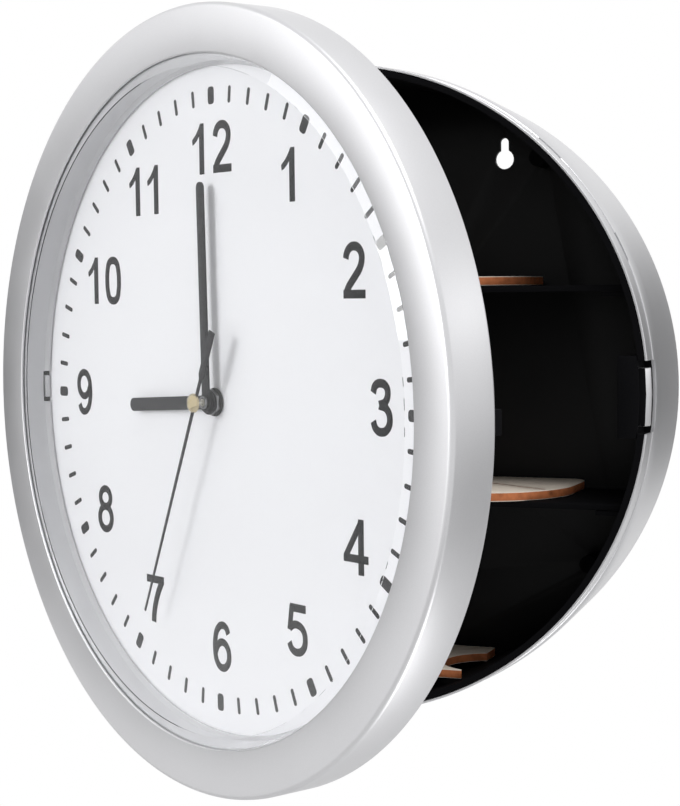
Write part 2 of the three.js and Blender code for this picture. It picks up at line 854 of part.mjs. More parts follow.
function threadedBushing() {
  return tube(bushing.bore, bushing.radius, -bushing.frontReach, movementFront - gap, smallSides);
}

function dialWasher() {
  const back = -gap;
  return tube(bushing.radius + gap, washer.radius, back - washer.thickness, back, smallSides);
}

function mountingNut() {
  const back = -2 * gap - washer.thickness;
  const body = disc(nut.radius, back - nut.thickness, back, nut.sides);
  return cut(body, [disc(bushing.radius + gap, back - nut.thickness - overrun, back + overrun, smallSides)]);
}

// Wheels. A mesh's pinion turns on one arbor and its wheel on the other.

function moduleOf(mesh) {
  return (2 * mesh.distance) / (mesh.pinionTeeth + mesh.wheelTeeth);
}

// A toothed wheel. It has a tooth, or the gap between two, towards the clock angle given.
function toothedWheel(teeth, module, thickness, depth, angle, toothThere) {
  const pitch = (teeth * module) / 2;
  const step = 360 / teeth;
  const start = toothThere ? angle : angle + step / 2;
  const shape = new THREE.Shape();
  for (let i = 0; i < teeth; i++) {
    const tip = onClock(pitch + module * toothTipShare, start + i * step);
    const root = onClock(pitch - module * toothRootShare, start + (i + 0.5) * step);
    if (i === 0) shape.moveTo(tip.x, tip.z);
    else shape.lineTo(tip.x, tip.z);
    shape.lineTo(root.x, root.z);
  }
  shape.closePath();
  return upright(shape, depth, depth + thickness);
}

function pinionOf(mesh, angle) {
  const depth = mesh.depth - (pinionThickness - wheelThickness) / 2;
  return toothedWheel(mesh.pinionTeeth, moduleOf(mesh), pinionThickness, depth, angle, true);
}

function wheelOf(mesh, angle) {
  return toothedWheel(mesh.wheelTeeth, moduleOf(mesh), wheelThickness, mesh.depth, angle, false);
}

function shaft(radius, from, to) {
  return bar("y", radius, from, to, 0, 0, 0, pinSides);
}

function hourWheel() {
  const pipe = disc(hourTube.radius, -hourTube.frontReach, hourTube.rearDepth, smallSides);
  return cut(join([pipe, wheelOf(hourMesh, motionAngle)]), [boreOf(hourTube)]);
}

function centreWheel() {
  const pieces = [
    disc(minuteTube.radius, -minuteTube.frontReach, minuteTube.rearDepth, smallSides),
    pinionOf(motionMesh, motionAngle),
    wheelOf(centreMesh, thirdAngle),
  ];
  return cut(join(pieces), [boreOf(minuteTube)]);
}

function boreOf(pipe) {
  return disc(pipe.bore, -pipe.frontReach - overrun, pipe.rearDepth + overrun, smallSides);
}

function secondWheel() {
  return join([
    shaft(secondShaft.radius, -secondShaft.frontReach, secondShaft.rearDepth),
    pinionOf(thirdMesh, thirdAngle),
    wheelOf(secondMesh, stepAngle),
  ]);
}

function thirdWheel() {
  return join([
    shaft(arborRadius, movementFloor + gap, coverFront - gap),
    wheelOf(thirdMesh, thirdAngle + 180),
    pinionOf(centreMesh, thirdAngle + 180),
  ]);
}

function minuteWheel() {
  return join([
    shaft(knob.shaftRadius, movementFloor + gap, movementBack + gap),
    wheelOf(motionMesh, motionAngle + 180),
    pinionOf(hourMesh, motionAngle + 180),
  ]);
}

function settingKnob() {
  return disc(knob.radius, movementBack + 2 * gap, movementBack + 2 * gap + knob.thickness, smallSides);
}

function steppingWheel() {
  return join([
    shaft(arborRadius, movementFloor + gap, coverFront - gap),
    pinionOf(secondMesh, stepAngle + 180),
    wheelOf(rotorMesh, rotorAngle),
  ]);
}

function rotorBody() {
  return join([
    shaft(arborRadius, movementFloor + gap, coverFront - gap),
    shaft(rotor.magnetRadius, rotor.magnetDepth, rotor.magnetDepth + rotor.magnetLength),
    pinionOf(rotorMesh, rotorAngle + 180),
  ]);
}

function rotorPlace() {
  const a = onClock(secondMesh.distance, stepAngle);
  const b = onClock(rotorMesh.distance, rotorAngle);
  return { x: a.x + b.x, z: a.z + b.z };
}

// The iron core: a bar through the coil with an ear round the rotor's magnet.
function motorStator() {
  const { x, z } = rotorPlace();
  const y = [stator.depth, stator.depth + stator.thickness];
  const half = stator.width / 2;
  const left = coil.centre - coil.length / 2 - stator.width;
  const core = block([left, x + stator.ringRadius], y, [stator.rise - half, stator.rise + half]);
  const neck = block([x - half, x + half], y, [z, stator.rise]);
  const ring = bar("y", stator.ringRadius, y[0], y[1], x, 0, z);
  const hole = bar("y", rotor.magnetRadius + stator.ringClearance, y[0] - overrun, y[1] + overrun, x, 0, z);
  return cut(join([core, neck, ring]), [hole]);
}

function motorCoil() {
  const middle = stator.depth + stator.thickness / 2;
  const half = coil.length / 2;
  const winding = bar("x", coil.radius, coil.centre - half, coil.centre + half, 0, middle, stator.rise);
  const slot = block(
    [coil.centre - half - overrun, coil.centre + half + overrun],
    [stator.depth - gap, stator.depth + stator.thickness + gap],
    [stator.rise - stator.width / 2 - gap, stator.rise + stator.width / 2 + gap],
  );
  return cut(winding, [slot]);
}

function circuitBoard() {
  return block(
    [circuit.centre - circuit.width / 2, circuit.centre + circuit.width / 2],
    [circuit.depth, circuit.depth + circuit.thickness],
    [circuit.rise - circuit.height / 2, circuit.rise + circuit.height / 2],
  );
}

// Hands. Each is drawn pointing to twelve o'clock.

function barHand(hand, bore) {
  const half = hand.width / 2;
  const shape = new THREE.Shape();
  shape.moveTo(-half, 0);
  shape.lineTo(half, 0);
  shape.absarc(0, hand.length - half, half, 0, Math.PI, false);
  shape.closePath();
  const blade = upright(shape, hand.depth, hand.depth + handThickness, cornerSteps);
  const hub = disc(hand.hubRadius, hand.depth, hand.depth + handThickness, smallSides);
  return cut(join([blade, hub]), [
    disc(bore + gap, hand.depth - overrun, hand.depth + handThickness + overrun, smallSides),
  ]);
}

// The round nut that holds the minute hand on its pipe.
function minuteNutBody() {
  const back = minuteHand.depth - gap;
  return tube(minuteTube.radius + gap, minuteNut.radius, back - minuteNut.thickness, back, smallSides);
}

function secondHandBody() {
  const h = secondHand;
  const back = h.depth + h.thickness;
  const shape = new THREE.Shape();
  shape.moveTo(h.rootWidth / 2, 0);
  shape.lineTo(h.tipWidth / 2, h.length);
  shape.lineTo(-h.tipWidth / 2, h.length);
  shape.lineTo(-h.rootWidth / 2, 0);
  shape.lineTo(-h.rootWidth / 2, -h.tailStart);
  shape.lineTo(-h.tailWidth / 2, -h.tailStart - h.tailWidth / 2);
  shape.lineTo(-h.tailWidth / 2, -h.tailLength);
  shape.lineTo(h.tailWidth / 2, -h.tailLength);
  shape.lineTo(h.tailWidth / 2, -h.tailStart - h.tailWidth / 2);
  shape.lineTo(h.rootWidth / 2, -h.tailStart);
  shape.closePath();
  const hub = disc(h.hubRadius, h.depth, back, smallSides);
  return cut(join([upright(shape, h.depth, back), hub]), [
    disc(secondShaft.radius + gap, h.depth - overrun, back + overrun, pinSides),
  ]);
}

function secondHandCap() {
  const back = secondHand.depth - gap;
  const rim = back - handCap.rim;
  const dome = swellProfile(0, rim - handCap.height, handCap.radius, rim);
  return turned([[0, back], [handCap.radius, back], ...dome.reverse()], smallSides);
}

// The assembly

const part = new THREE.Group();

function add(group, name, finish, geometry, x = 0, z = 0, turn = 0) {
  const material = new THREE.MeshStandardMaterial(finishes[finish]);
  const mesh = new THREE.Mesh(geometry, material);
  mesh.name = name;
  mesh.position.set(x, 0, z);
  mesh.rotation.y = radians(turn);
  group.add(mesh);
  return mesh;
}

function addCase() {
  add(part, "case_shell", "silver", caseShell());
  add(part, "case_liner", "blackPlastic", caseLiner());
  add(part, "back_plate", "blackPlastic", backPlateBody());
  add(part, "upper_shelf", "blackPlastic", shelfBody(shelf.upperTop));
  add(part, "lower_shelf", "blackPlastic", shelfBody(shelf.lowerTop));
  add(part, "upper_board", "birch", shelfBoard(shelf.upperTop, board.upperShift));
  add(part, "lower_board", "birch", shelfBoard(shelf.lowerTop, board.lowerShift));
  add(part, "bottom_board", "birch", bottomBoardBody());
  backScrewPlaces().forEach((place, i) => {
    add(part, `back_screw_${i + 1}`, "steel", backScrewBody(place));
  });
  add(part, "hinge_bracket", "blackPlastic", hingeBracket());
  add(part, "hinge_pin", "steel", hingePin());
  add(part, "hinge_screw_upper", "steel", hingeScrew(1));
  add(part, "hinge_screw_lower", "steel", hingeScrew(-1));
  add(part, "latch_guide", "blackPlastic", latchGuideBody());
  add(part, "latch_tab", "silver", latchTabBody());
}

function addDoorShell(door) {
  add(door, "bezel_ring", "silver", bezelRing());
  add(door, "lens", "clear", lensBody());
  add(door, "recess_ring", "greyGloss", recessRing());
  add(door, "dial_plate", "whiteDial", dialPlateBody());
  add(door, "dial_clip", "greyGloss", dialClipBody());
  add(door, "door_backing", "blackPlastic", doorBacking());
  add(door, "strike_lug", "blackPlastic", strikeLug());
  doorScrewPlaces().forEach(({ x, z }, i) => {
    const head = backingBack + gap + doorScrew.headHeight;
    add(door, `door_screw_${i + 1}`, "steel", panScrew(x, z, head, doorScrew, -1));
  });
}

function addMovement(door) {
  add(door, "movement_housing", "blackPlastic", movementHousing());
  add(door, "movement_cover", "blackPlastic", movementCover());
  add(door, "battery", "batterySleeve", batteryBody());
  add(door, "battery_contact_positive", "steel", contactBody(1));
  add(door, "battery_contact_negative", "steel", contactBody(-1));
  add(door, "threaded_bushing", "brass", threadedBushing());
  add(door, "dial_washer", "rubber", dialWasher());
  add(door, "mounting_nut", "steel", mountingNut());
  add(door, "motor_coil", "copper", motorCoil());
  add(door, "motor_stator", "steel", motorStator());
  add(door, "circuit_board", "circuitGreen", circuitBoard());
}

function addTrain(door) {
  const third = onClock(centreMesh.distance, thirdAngle);
  const motion = onClock(motionMesh.distance, motionAngle);
  const step = onClock(secondMesh.distance, stepAngle);
  const motor = rotorPlace();
  add(door, "hour_wheel", "gearWhite", hourWheel());
  add(door, "centre_wheel", "gearWhite", centreWheel());
  add(door, "second_wheel", "gearWhite", secondWheel());
  add(door, "third_wheel", "gearWhite", thirdWheel(), third.x, third.z);
  add(door, "minute_wheel", "gearWhite", minuteWheel(), motion.x, motion.z);
  add(door, "setting_knob", "blackPlastic", settingKnob(), motion.x, motion.z);
  add(door, "stepping_wheel", "gearWhite", steppingWheel(), step.x, step.z);
  add(door, "rotor", "steel", rotorBody(), motor.x, motor.z);
}

function addHands(door) {
  add(door, "hour_hand", "blackPaint", barHand(hourHand, hourTube.radius), 0, 0, hourHand.angle);
  add(door, "minute_hand", "blackPaint", barHand(minuteHand, minuteTube.radius), 0, 0, minuteHand.angle);
  add(door, "minute_nut", "steel", minuteNutBody());
  add(door, "second_hand", "blackPaint", secondHandBody(), 0, 0, secondHand.angle);
  add(door, "second_hand_cap", "brass", secondHandCap());
}

const swing = new THREE.Group();
swing.position.set(pivotX, pivotY, 0);
swing.rotation.z = radians(-openAngle);
part.add(swing);

const door = new THREE.Group();
door.position.set(-pivotX, -pivotDepth, 0);
swing.add(door);

addCase();
addDoorShell(door);
addMovement(door);
addTrain(door);
addHands(door);

export default part;
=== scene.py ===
import math

import bpy
from mathutils import Euler, Matrix, Vector


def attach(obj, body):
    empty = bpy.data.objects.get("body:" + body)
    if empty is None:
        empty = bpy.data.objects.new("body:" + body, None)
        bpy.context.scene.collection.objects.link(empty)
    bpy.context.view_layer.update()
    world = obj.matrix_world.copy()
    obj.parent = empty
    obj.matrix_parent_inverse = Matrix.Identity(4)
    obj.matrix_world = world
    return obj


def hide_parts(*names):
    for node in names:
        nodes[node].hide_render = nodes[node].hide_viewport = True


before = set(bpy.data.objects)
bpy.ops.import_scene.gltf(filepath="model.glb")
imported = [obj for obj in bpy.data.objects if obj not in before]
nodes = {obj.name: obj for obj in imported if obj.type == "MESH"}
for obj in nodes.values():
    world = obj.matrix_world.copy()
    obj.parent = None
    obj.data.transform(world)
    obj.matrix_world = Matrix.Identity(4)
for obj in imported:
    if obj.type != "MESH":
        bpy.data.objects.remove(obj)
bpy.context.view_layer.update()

# A wall clock whose face is the door of a round safe. Lengths below are millimetres,
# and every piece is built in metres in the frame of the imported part.
mm = 0.001


def report(stage):
    print("scene:", stage, flush=True)


# The door's pieces are drawn facing -Y round the middle of the dial, then swung on the hinge.
doorPlace = {"hingeX": -146, "hingeY": -81, "hingeDepth": -5.5, "open": 30}


def doorMatrix():
    hinge = Matrix.Translation(Vector((doorPlace["hingeX"], doorPlace["hingeY"], 0)) * mm)
    turn = Matrix.Rotation(math.radians(-doorPlace["open"]), 4, "Z")
    back = Matrix.Translation(Vector((-doorPlace["hingeX"], -doorPlace["hingeDepth"], 0)) * mm)
    return hinge @ turn @ back


toDoor = doorMatrix()
noTurn = Matrix.Identity(4)


def move(x, y, z):
    return Matrix.Translation(Vector((x, y, z)) * mm)


def onClock(radius, angle):
    a = math.radians(angle)  # clockwise from twelve, seen from the front
    return radius * math.sin(a), radius * math.cos(a)


report("frame loaded")

# Shader groups, each used by several finishes


def newGroup(name, inputs, outputs):
    group = bpy.data.node_groups.new(name, "ShaderNodeTree")
    for label, kind, value in inputs:
        socket = group.interface.new_socket(name=label, in_out="INPUT", socket_type=kind)
        if value is not None:
            socket.default_value = value
    for label, kind in outputs:
        group.interface.new_socket(name=label, in_out="OUTPUT", socket_type=kind)
    return group, group.nodes.new("NodeGroupInput"), group.nodes.new("NodeGroupOutput")


def addMath(tree, operation, first, second=None, third=None):
    node = tree.nodes.new("ShaderNodeMath")
    node.operation = operation
    for i, value in enumerate((first, second, third)):
        if value is None:
            continue
        if isinstance(value, (int, float)):
            node.inputs[i].default_value = value
        else:
            tree.links.new(value, node.inputs[i])
    return node.outputs["Value"]


def addNoise(tree, vector, scale, detail=2.0):
    noise = tree.nodes.new("ShaderNodeTexNoise")
    noise.inputs["Detail"].default_value = detail
    tree.links.new(vector, noise.inputs["Vector"])
    if isinstance(scale, (int, float)):
        noise.inputs["Scale"].default_value = scale
    else:
        tree.links.new(scale, noise.inputs["Scale"])
    return noise.outputs["Fac"]


def addMix(tree, mask, low, high):
    mix = tree.nodes.new("ShaderNodeMix")
    mix.data_type = "RGBA"
    for socket, value in ((mix.inputs["Factor"], mask), (mix.inputs[6], low), (mix.inputs[7], high)):
        if isinstance(value, (int, float, tuple)):
            socket.default_value = value
        else:
            tree.links.new(value, socket)
    return mix.outputs[2]


def grainGroup():
    # fine grain in the colour and height, and broad handling marks in the gloss
    group, start, end = newGroup(
        "surfaceGrain",
        [
            ("Vector", "NodeSocketVector", None),
            ("Color", "NodeSocketColor", (0.5, 0.5, 0.5, 1)),
            ("Grain Scale", "NodeSocketFloat", 900.0),
            ("Contrast", "NodeSocketFloat", 0.1),
            ("Roughness", "NodeSocketFloat", 0.4),
            ("Gloss Change", "NodeSocketFloat", 0.1),
            ("Mark Scale", "NodeSocketFloat", 30.0),
        ],
        [("Color", "NodeSocketColor"), ("Roughness", "NodeSocketFloat"), ("Height", "NodeSocketFloat")],
    )
    broadShare = 0.35  # how much the broad marks add to the fine grain
    fine = addNoise(group, start.outputs["Vector"], start.outputs["Grain Scale"])
    broad = addNoise(group, start.outputs["Vector"], start.outputs["Mark Scale"], 3.0)
    both = addMath(group, "MULTIPLY_ADD", broad, broadShare, fine)
    centred = addMath(group, "SUBTRACT", both, (1 + broadShare) / 2)
    tone = addMath(group, "MULTIPLY_ADD", centred, start.outputs["Contrast"], 1.0)
    scaled = group.nodes.new("ShaderNodeVectorMath")
    scaled.operation = "SCALE"
    group.links.new(start.outputs["Color"], scaled.inputs[0])
    group.links.new(tone, scaled.inputs["Scale"])
    group.links.new(scaled.outputs["Vector"], end.inputs["Color"])
    shift = addMath(group, "SUBTRACT", broad, 0.5)
    rough = addMath(group, "MULTIPLY_ADD", shift, start.outputs["Gloss Change"], start.outputs["Roughness"])
    group.links.new(rough, end.inputs["Roughness"])
    group.links.new(fine, end.inputs["Height"])
    return group


plyPattern = {
    "faceFrom": 0.41,
    "stretch": (0.12, 1, 1),
    "grain": 420.0,
    "grainTone": (0.3, 0.85),
    "streak": 260.0,
    "burn": (1.6, -0.62),
}


def plyGroup():
    # pale faces and a browned core with streaks
    group, start, end = newGroup(
        "plywoodLayers",
        [
            ("Vector", "NodeSocketVector", None),
            ("Bottom", "NodeSocketFloat", 0.0),
            ("Thickness", "NodeSocketFloat", 0.004),
            ("Face", "NodeSocketColor", (0.8, 0.7, 0.6, 1)),
            ("Core", "NodeSocketColor", (0.4, 0.15, 0.06, 1)),
            ("Scorch", "NodeSocketColor", (0.1, 0.04, 0.02, 1)),
        ],
        [("Color", "NodeSocketColor"), ("Height", "NodeSocketFloat")],
    )
    split = group.nodes.new("ShaderNodeSeparateXYZ")
    group.links.new(start.outputs["Vector"], split.inputs["Vector"])
    above = addMath(group, "SUBTRACT", split.outputs["Z"], start.outputs["Bottom"])
    share = addMath(group, "DIVIDE", above, start.outputs["Thickness"])
    fromMiddle = addMath(group, "ABSOLUTE", addMath(group, "SUBTRACT", share, 0.5))
    isFace = addMath(group, "GREATER_THAN", fromMiddle, plyPattern["faceFrom"])
    stretch = group.nodes.new("ShaderNodeMapping")
    stretch.inputs["Scale"].default_value = plyPattern["stretch"]
    group.links.new(start.outputs["Vector"], stretch.inputs["Vector"])
    grain = addNoise(group, stretch.outputs["Vector"], plyPattern["grain"], 4.0)
    streak = addNoise(group, start.outputs["Vector"], plyPattern["streak"], 3.0)
    faceTone = addMath(group, "MULTIPLY_ADD", grain, *plyPattern["grainTone"])
    face = group.nodes.new("ShaderNodeVectorMath")
    face.operation = "SCALE"
    group.links.new(start.outputs["Face"], face.inputs[0])
    group.links.new(faceTone, face.inputs["Scale"])
    burn = addMath(group, "MULTIPLY_ADD", streak, *plyPattern["burn"])
    core = addMix(group, burn, start.outputs["Core"], start.outputs["Scorch"])
    color = addMix(group, isFace, core, face.outputs["Vector"])
    group.links.new(color, end.inputs["Color"])
    group.links.new(grain, end.inputs["Height"])
    return group


surfaceGrain = grainGroup()
plywoodLayers = plyGroup()


def newMaterial(name, metal=0.0, ior=1.45, specular=0.5):
    material = bpy.data.materials.new(name)
    material.use_nodes = True
    tree = material.node_tree
    tree.nodes.clear()
    out = tree.nodes.new("ShaderNodeOutputMaterial")
    shader = tree.nodes.new("ShaderNodeBsdfPrincipled")
    shader.inputs["Metallic"].default_value = metal
    shader.inputs["IOR"].default_value = ior
    shader.inputs["Specular IOR Level"].default_value = specular
    tree.links.new(shader.outputs["BSDF"], out.inputs["Surface"])
    return material, tree, shader


def placedCoordinates(tree, stretch=(1, 1, 1), turn=0):
    coordinates = tree.nodes.new("ShaderNodeTexCoord")
    mapping = tree.nodes.new("ShaderNodeMapping")
    mapping.inputs["Rotation"].default_value = (0, 0, math.radians(turn))
    mapping.inputs["Scale"].default_value = stretch
    tree.links.new(coordinates.outputs["Object"], mapping.inputs["Vector"])
    return mapping.outputs["Vector"]


def addBump(tree, shader, height, distance, strength=0.5):
    bump = tree.nodes.new("ShaderNodeBump")
    bump.inputs["Distance"].default_value = distance * mm
    bump.inputs["Strength"].default_value = strength
    tree.links.new(height, bump.inputs["Height"])
    tree.links.new(bump.outputs["Normal"], shader.inputs["Normal"])


def grainFinish(name, look):
    material, tree, shader = newMaterial(name, look.get("metal", 0.0), specular=look.get("specular", 0.5))
    group = tree.nodes.new("ShaderNodeGroup")
    group.node_tree = surfaceGrain
    vector = placedCoordinates(tree, look.get("stretch", (1, 1, 1)), look.get("turn", 0))
    tree.links.new(vector, group.inputs["Vector"])
    group.inputs["Color"].default_value = (*look["color"], 1)
    group.inputs["Grain Scale"].default_value = look["grain"]
    group.inputs["Contrast"].default_value = look["contrast"]
    group.inputs["Roughness"].default_value = look["rough"]
    group.inputs["Gloss Change"].default_value = look["glossChange"]
    shader.inputs["Coat Weight"].default_value = look.get("coat", 0.0)
    shader.inputs["Coat Roughness"].default_value = 0.1
    tree.links.new(group.outputs["Color"], shader.inputs["Base Color"])
    tree.links.new(group.outputs["Roughness"], shader.inputs["Roughness"])
    addBump(tree, shader, group.outputs["Height"], look["bump"])
    return material


silverLook = {"color": (0.63, 0.63, 0.645), "metal": 0.85, "rough": 0.38, "glossChange": 0.06,
              "grain": 2600.0, "contrast": 0.1, "bump": 0.01}
plasticLook = {"color": (0.0055, 0.0055, 0.0062), "rough": 0.5, "glossChange": 0.12,
               "grain": 1500.0, "contrast": 0.5, "bump": 0.03, "specular": 0.3}
innerLook = {"color": (0.0042, 0.0042, 0.005), "rough": 0.8, "glossChange": 0.1,
             "grain": 1200.0, "contrast": 0.5, "bump": 0.03, "specular": 0.07}
recessLook = {"color": (0.5, 0.5, 0.52), "rough": 0.14, "glossChange": 0.05,
              "grain": 900.0, "contrast": 0.03, "bump": 0.002, "specular": 1.0, "coat": 0.5}
dialLook = {"color": (0.9, 0.9, 0.93), "rough": 0.6, "glossChange": 0.05,
            "grain": 1800.0, "contrast": 0.012, "bump": 0.006}
inkLook = {"color": (0.014, 0.014, 0.016), "rough": 0.6, "glossChange": 0.1,
           "grain": 1400.0, "contrast": 0.35, "bump": 0.005, "specular": 0.12}
handLook = {"color": (0.018, 0.018, 0.021), "rough": 0.42, "glossChange": 0.12,
            "grain": 1600.0, "contrast": 0.3, "bump": 0.012, "specular": 0.2}
steelLook = {"color": (0.56, 0.56, 0.57), "metal": 1.0, "rough": 0.3, "glossChange": 0.15,
             "grain": 1400.0, "contrast": 0.18, "bump": 0.01, "stretch": (1, 1, 9)}
nutLook = {"color": (0.3, 0.3, 0.31), "metal": 0.9, "rough": 0.36, "glossChange": 0.12,
           "grain": 1500.0, "contrast": 0.2, "bump": 0.01}
darkSteelLook = {"color": (0.28, 0.28, 0.3), "metal": 1.0, "rough": 0.34, "glossChange": 0.15,
                 "grain": 1600.0, "contrast": 0.25, "bump": 0.01}
brassLook = {"color": (0.6, 0.51, 0.33), "metal": 1.0, "rough": 0.09, "glossChange": 0.08,
             "grain": 1200.0, "contrast": 0.08, "bump": 0.004}
rubberLook = {"color": (0.012, 0.012, 0.013), "rough": 0.8, "glossChange": 0.1,
              "grain": 1100.0, "contrast": 0.4, "bump": 0.04}
copperLook = {"color": (0.55, 0.26, 0.14), "metal": 0.9, "rough": 0.32, "glossChange": 0.1,
              "grain": 900.0, "contrast": 0.5, "bump": 0.05, "stretch": (4, 0.3, 0.3), "turn": 30}
nylonLook = {"color": (0.74, 0.72, 0.66), "rough": 0.42, "glossChange": 0.1,
             "grain": 1000.0, "contrast": 0.06, "bump": 0.01}
circuitLook = {"color": (0.02, 0.13, 0.06), "rough": 0.35, "glossChange": 0.15,
               "grain": 500.0, "contrast": 0.7, "bump": 0.03}
sleeveLook = {"color": (0.2, 0.21, 0.23), "metal": 0.4, "rough": 0.28, "glossChange": 0.1,
              "grain": 1300.0, "contrast": 0.12, "bump": 0.006}

silverPaint = grainFinish("silverPaint", silverLook)
blackPlastic = grainFinish("blackPlastic", plasticLook)
innerPlastic = grainFinish("innerPlastic", innerLook)
recessGrey = grainFinish("recessGrey", recessLook)
dialPaper = grainFinish("dialPaper", dialLook)
printInk = grainFinish("printInk", inkLook)
handPaint = grainFinish("handPaint", handLook)
brushedSteel = grainFinish("brushedSteel", steelLook)
greyNut = grainFinish("greyNut", nutLook)
darkSteel = grainFinish("darkSteel", darkSteelLook)
paleBrass = grainFinish("paleBrass", brassLook)
washerRubber = grainFinish("washerRubber", rubberLook)
copperWire = grainFinish("copperWire", copperLook)
whiteNylon = grainFinish("whiteNylon", nylonLook)
circuitGreen = grainFinish("circuitGreen", circuitLook)
batterySleeve = grainFinish("batterySleeve", sleeveLook)

woodLook = {
    "face": (0.88, 0.78, 0.67),
    "core": (0.66, 0.22, 0.085),
    "scorch": (0.27, 0.075, 0.03),
    "rough": 0.62,
    "specular": 0.25,
    "bump": 0.05,
    "thickness": 4,
    "knot": {"at": (97.2, -51.5, -44.6), "radius": 2.6, "core": 0.3, "color": (0.05, 0.022, 0.01)},
}


def woodFinish(name, bottom, knot=None):
    # each board's layers are counted from its own underside
    material, tree, shader = newMaterial(name, specular=woodLook["specular"])
    shader.inputs["Roughness"].default_value = woodLook["rough"]
    group = tree.nodes.new("ShaderNodeGroup")
    group.node_tree = plywoodLayers
    vector = placedCoordinates(tree)
    tree.links.new(vector, group.inputs["Vector"])
    group.inputs["Bottom"].default_value = bottom * mm
    group.inputs["Thickness"].default_value = woodLook["thickness"] * mm
    group.inputs["Face"].default_value = (*woodLook["face"], 1)
    group.inputs["Core"].default_value = (*woodLook["core"], 1)
    group.inputs["Scorch"].default_value = (*woodLook["scorch"], 1)
    color = group.outputs["Color"]
    if knot:
        away = tree.nodes.new("ShaderNodeVectorMath")
        away.operation = "DISTANCE"
        away.inputs[1].default_value = Vector(knot["at"]) * mm
        tree.links.new(vector, away.inputs[0])
        near = tree.nodes.new("ShaderNodeMapRange")
        near.interpolation_type = "SMOOTHSTEP"
        near.inputs["From Min"].default_value = knot["radius"] * mm
        near.inputs["From Max"].default_value = knot["core"] * knot["radius"] * mm
        tree.links.new(away.outputs["Value"], near.inputs["Value"])
        color = addMix(tree, near.outputs["Result"], color, (*knot["color"], 1))
    tree.links.new(color, shader.inputs["Base Color"])
    addBump(tree, shader, group.outputs["Height"], woodLook["bump"])
    return material


# with the height of each board's underside
boardFinishes = {
    "upper_board": woodFinish("upperBoardWood", 45.7),
    "lower_board": woodFinish("lowerBoardWood", -46.9, woodLook["knot"]),
    "bottom_board": woodFinish("bottomBoardWood", -126.5),
}


lensLook = {"color": (0.985, 0.99, 0.99), "ior": 1.46}


def glassFinish():
    material, tree, shader = newMaterial("clearLens", ior=lensLook["ior"])
    shader.inputs["Base Color"].default_value = (*lensLook["color"], 1)
    shader.inputs["Roughness"].default_value = 0.0
    shader.inputs["Transmission Weight"].default_value = 1.0
    clear = tree.nodes.new("ShaderNodeBsdfTransparent")
    mix = tree.nodes.new("ShaderNodeMixShader")
    path = tree.nodes.new("ShaderNodeLightPath")
    tree.links.new(path.outputs["Is Shadow Ray"], mix.inputs["Fac"])
    tree.links.new(shader.outputs["BSDF"], mix.inputs[1])
    tree.links.new(clear.outputs["BSDF"], mix.inputs[2])
    tree.links.new(mix.outputs["Shader"], tree.nodes["Material Output"].inputs["Surface"])
    return material


clearLens = glassFinish()
report("finishes made")

# Modelling helpers
overrun = 1  # how far a cutter reaches past what it cuts


def deselectAll():
    if bpy.context.object and bpy.context.object.mode != "OBJECT":
        bpy.ops.object.mode_set(mode="OBJECT")
    bpy.ops.object.select_all(action="DESELECT")


def keepOnly(piece):
    deselectAll()
    piece.select_set(True)
    bpy.context.view_layer.objects.active = piece


def settle(piece, place=noTurn):
    # the place goes into the mesh, so the object is left at the origin
    keepOnly(piece)
    piece.matrix_world = place @ piece.matrix_world
    bpy.ops.object.transform_apply(location=True, rotation=True, scale=True)


def applyModifier(piece, name):
    keepOnly(piece)
    bpy.ops.object.modifier_apply(modifier=name)


def roundedSection(corners, steps=5):
    # a corner is (radius, depth) or (radius, depth, round), and a round one becomes a short arc
    points = []
    for i, corner in enumerate(corners):
        here = Vector(corner[:2])
        if len(corner) < 3:
            points.append(here)
            continue
        back = (Vector(corners[i - 1][:2]) - here).normalized()
        ahead = (Vector(corners[(i + 1) % len(corners)][:2]) - here).normalized()
        half = back.angle(ahead) / 2
        middle = here + (back + ahead).normalized() * (corner[2] / math.sin(half))
        start = here + back * (corner[2] / math.tan(half)) - middle
        end = here + ahead * (corner[2] / math.tan(half)) - middle
        sweep = start.angle_signed(end)
        for s in range(steps + 1):
            a = -sweep * s / steps
            points.append(middle + Matrix.Rotation(a, 2) @ start)
    return points


def turnedPiece(corners, sides):
    # the section is drawn point by point and spun about the front-to-back axis
    section = roundedSection(corners)
    closed = section[0].x > 0 or section[-1].x > 0
    deselectAll()
    bpy.ops.mesh.primitive_plane_add(size=mm, location=(section[0].x * mm, section[0].y * mm, 0))
    piece = bpy.context.object
    bpy.ops.object.transform_apply(location=True, rotation=True, scale=True)
    bpy.ops.object.mode_set(mode="EDIT")
    bpy.ops.mesh.select_mode(type="VERT")
    bpy.ops.mesh.select_all(action="SELECT")
    bpy.ops.mesh.merge(type="CENTER")
    last = section[0]
    for point in section[1:] + (section[:1] if closed else []):
        step = (point - last) * mm
        bpy.ops.mesh.extrude_vertices_move(TRANSFORM_OT_translate={"value": (step.x, step.y, 0)})
        last = point
    bpy.ops.mesh.select_all(action="SELECT")
    bpy.ops.mesh.remove_doubles(threshold=0.002 * mm)
    bpy.ops.mesh.select_all(action="SELECT")
    bpy.ops.mesh.spin(steps=sides, angle=math.tau, center=(0, 0, 0), axis=(0, 1, 0))
    bpy.ops.mesh.select_all(action="SELECT")
    bpy.ops.mesh.remove_doubles(threshold=0.002 * mm)
    bpy.ops.mesh.normals_make_consistent(inside=False)
    bpy.ops.object.mode_set(mode="OBJECT")
    return piece


def blockPiece(x, y, z):
    deselectAll()
    middle = ((x[0] + x[1]) / 2 * mm, (y[0] + y[1]) / 2 * mm, (z[0] + z[1]) / 2 * mm)
    size = ((x[1] - x[0]) * mm, (y[1] - y[0]) * mm, (z[1] - z[0]) * mm)
    bpy.ops.mesh.primitive_cube_add(size=1, location=middle, scale=size)
    piece = bpy.context.object
    settle(piece)
    return piece


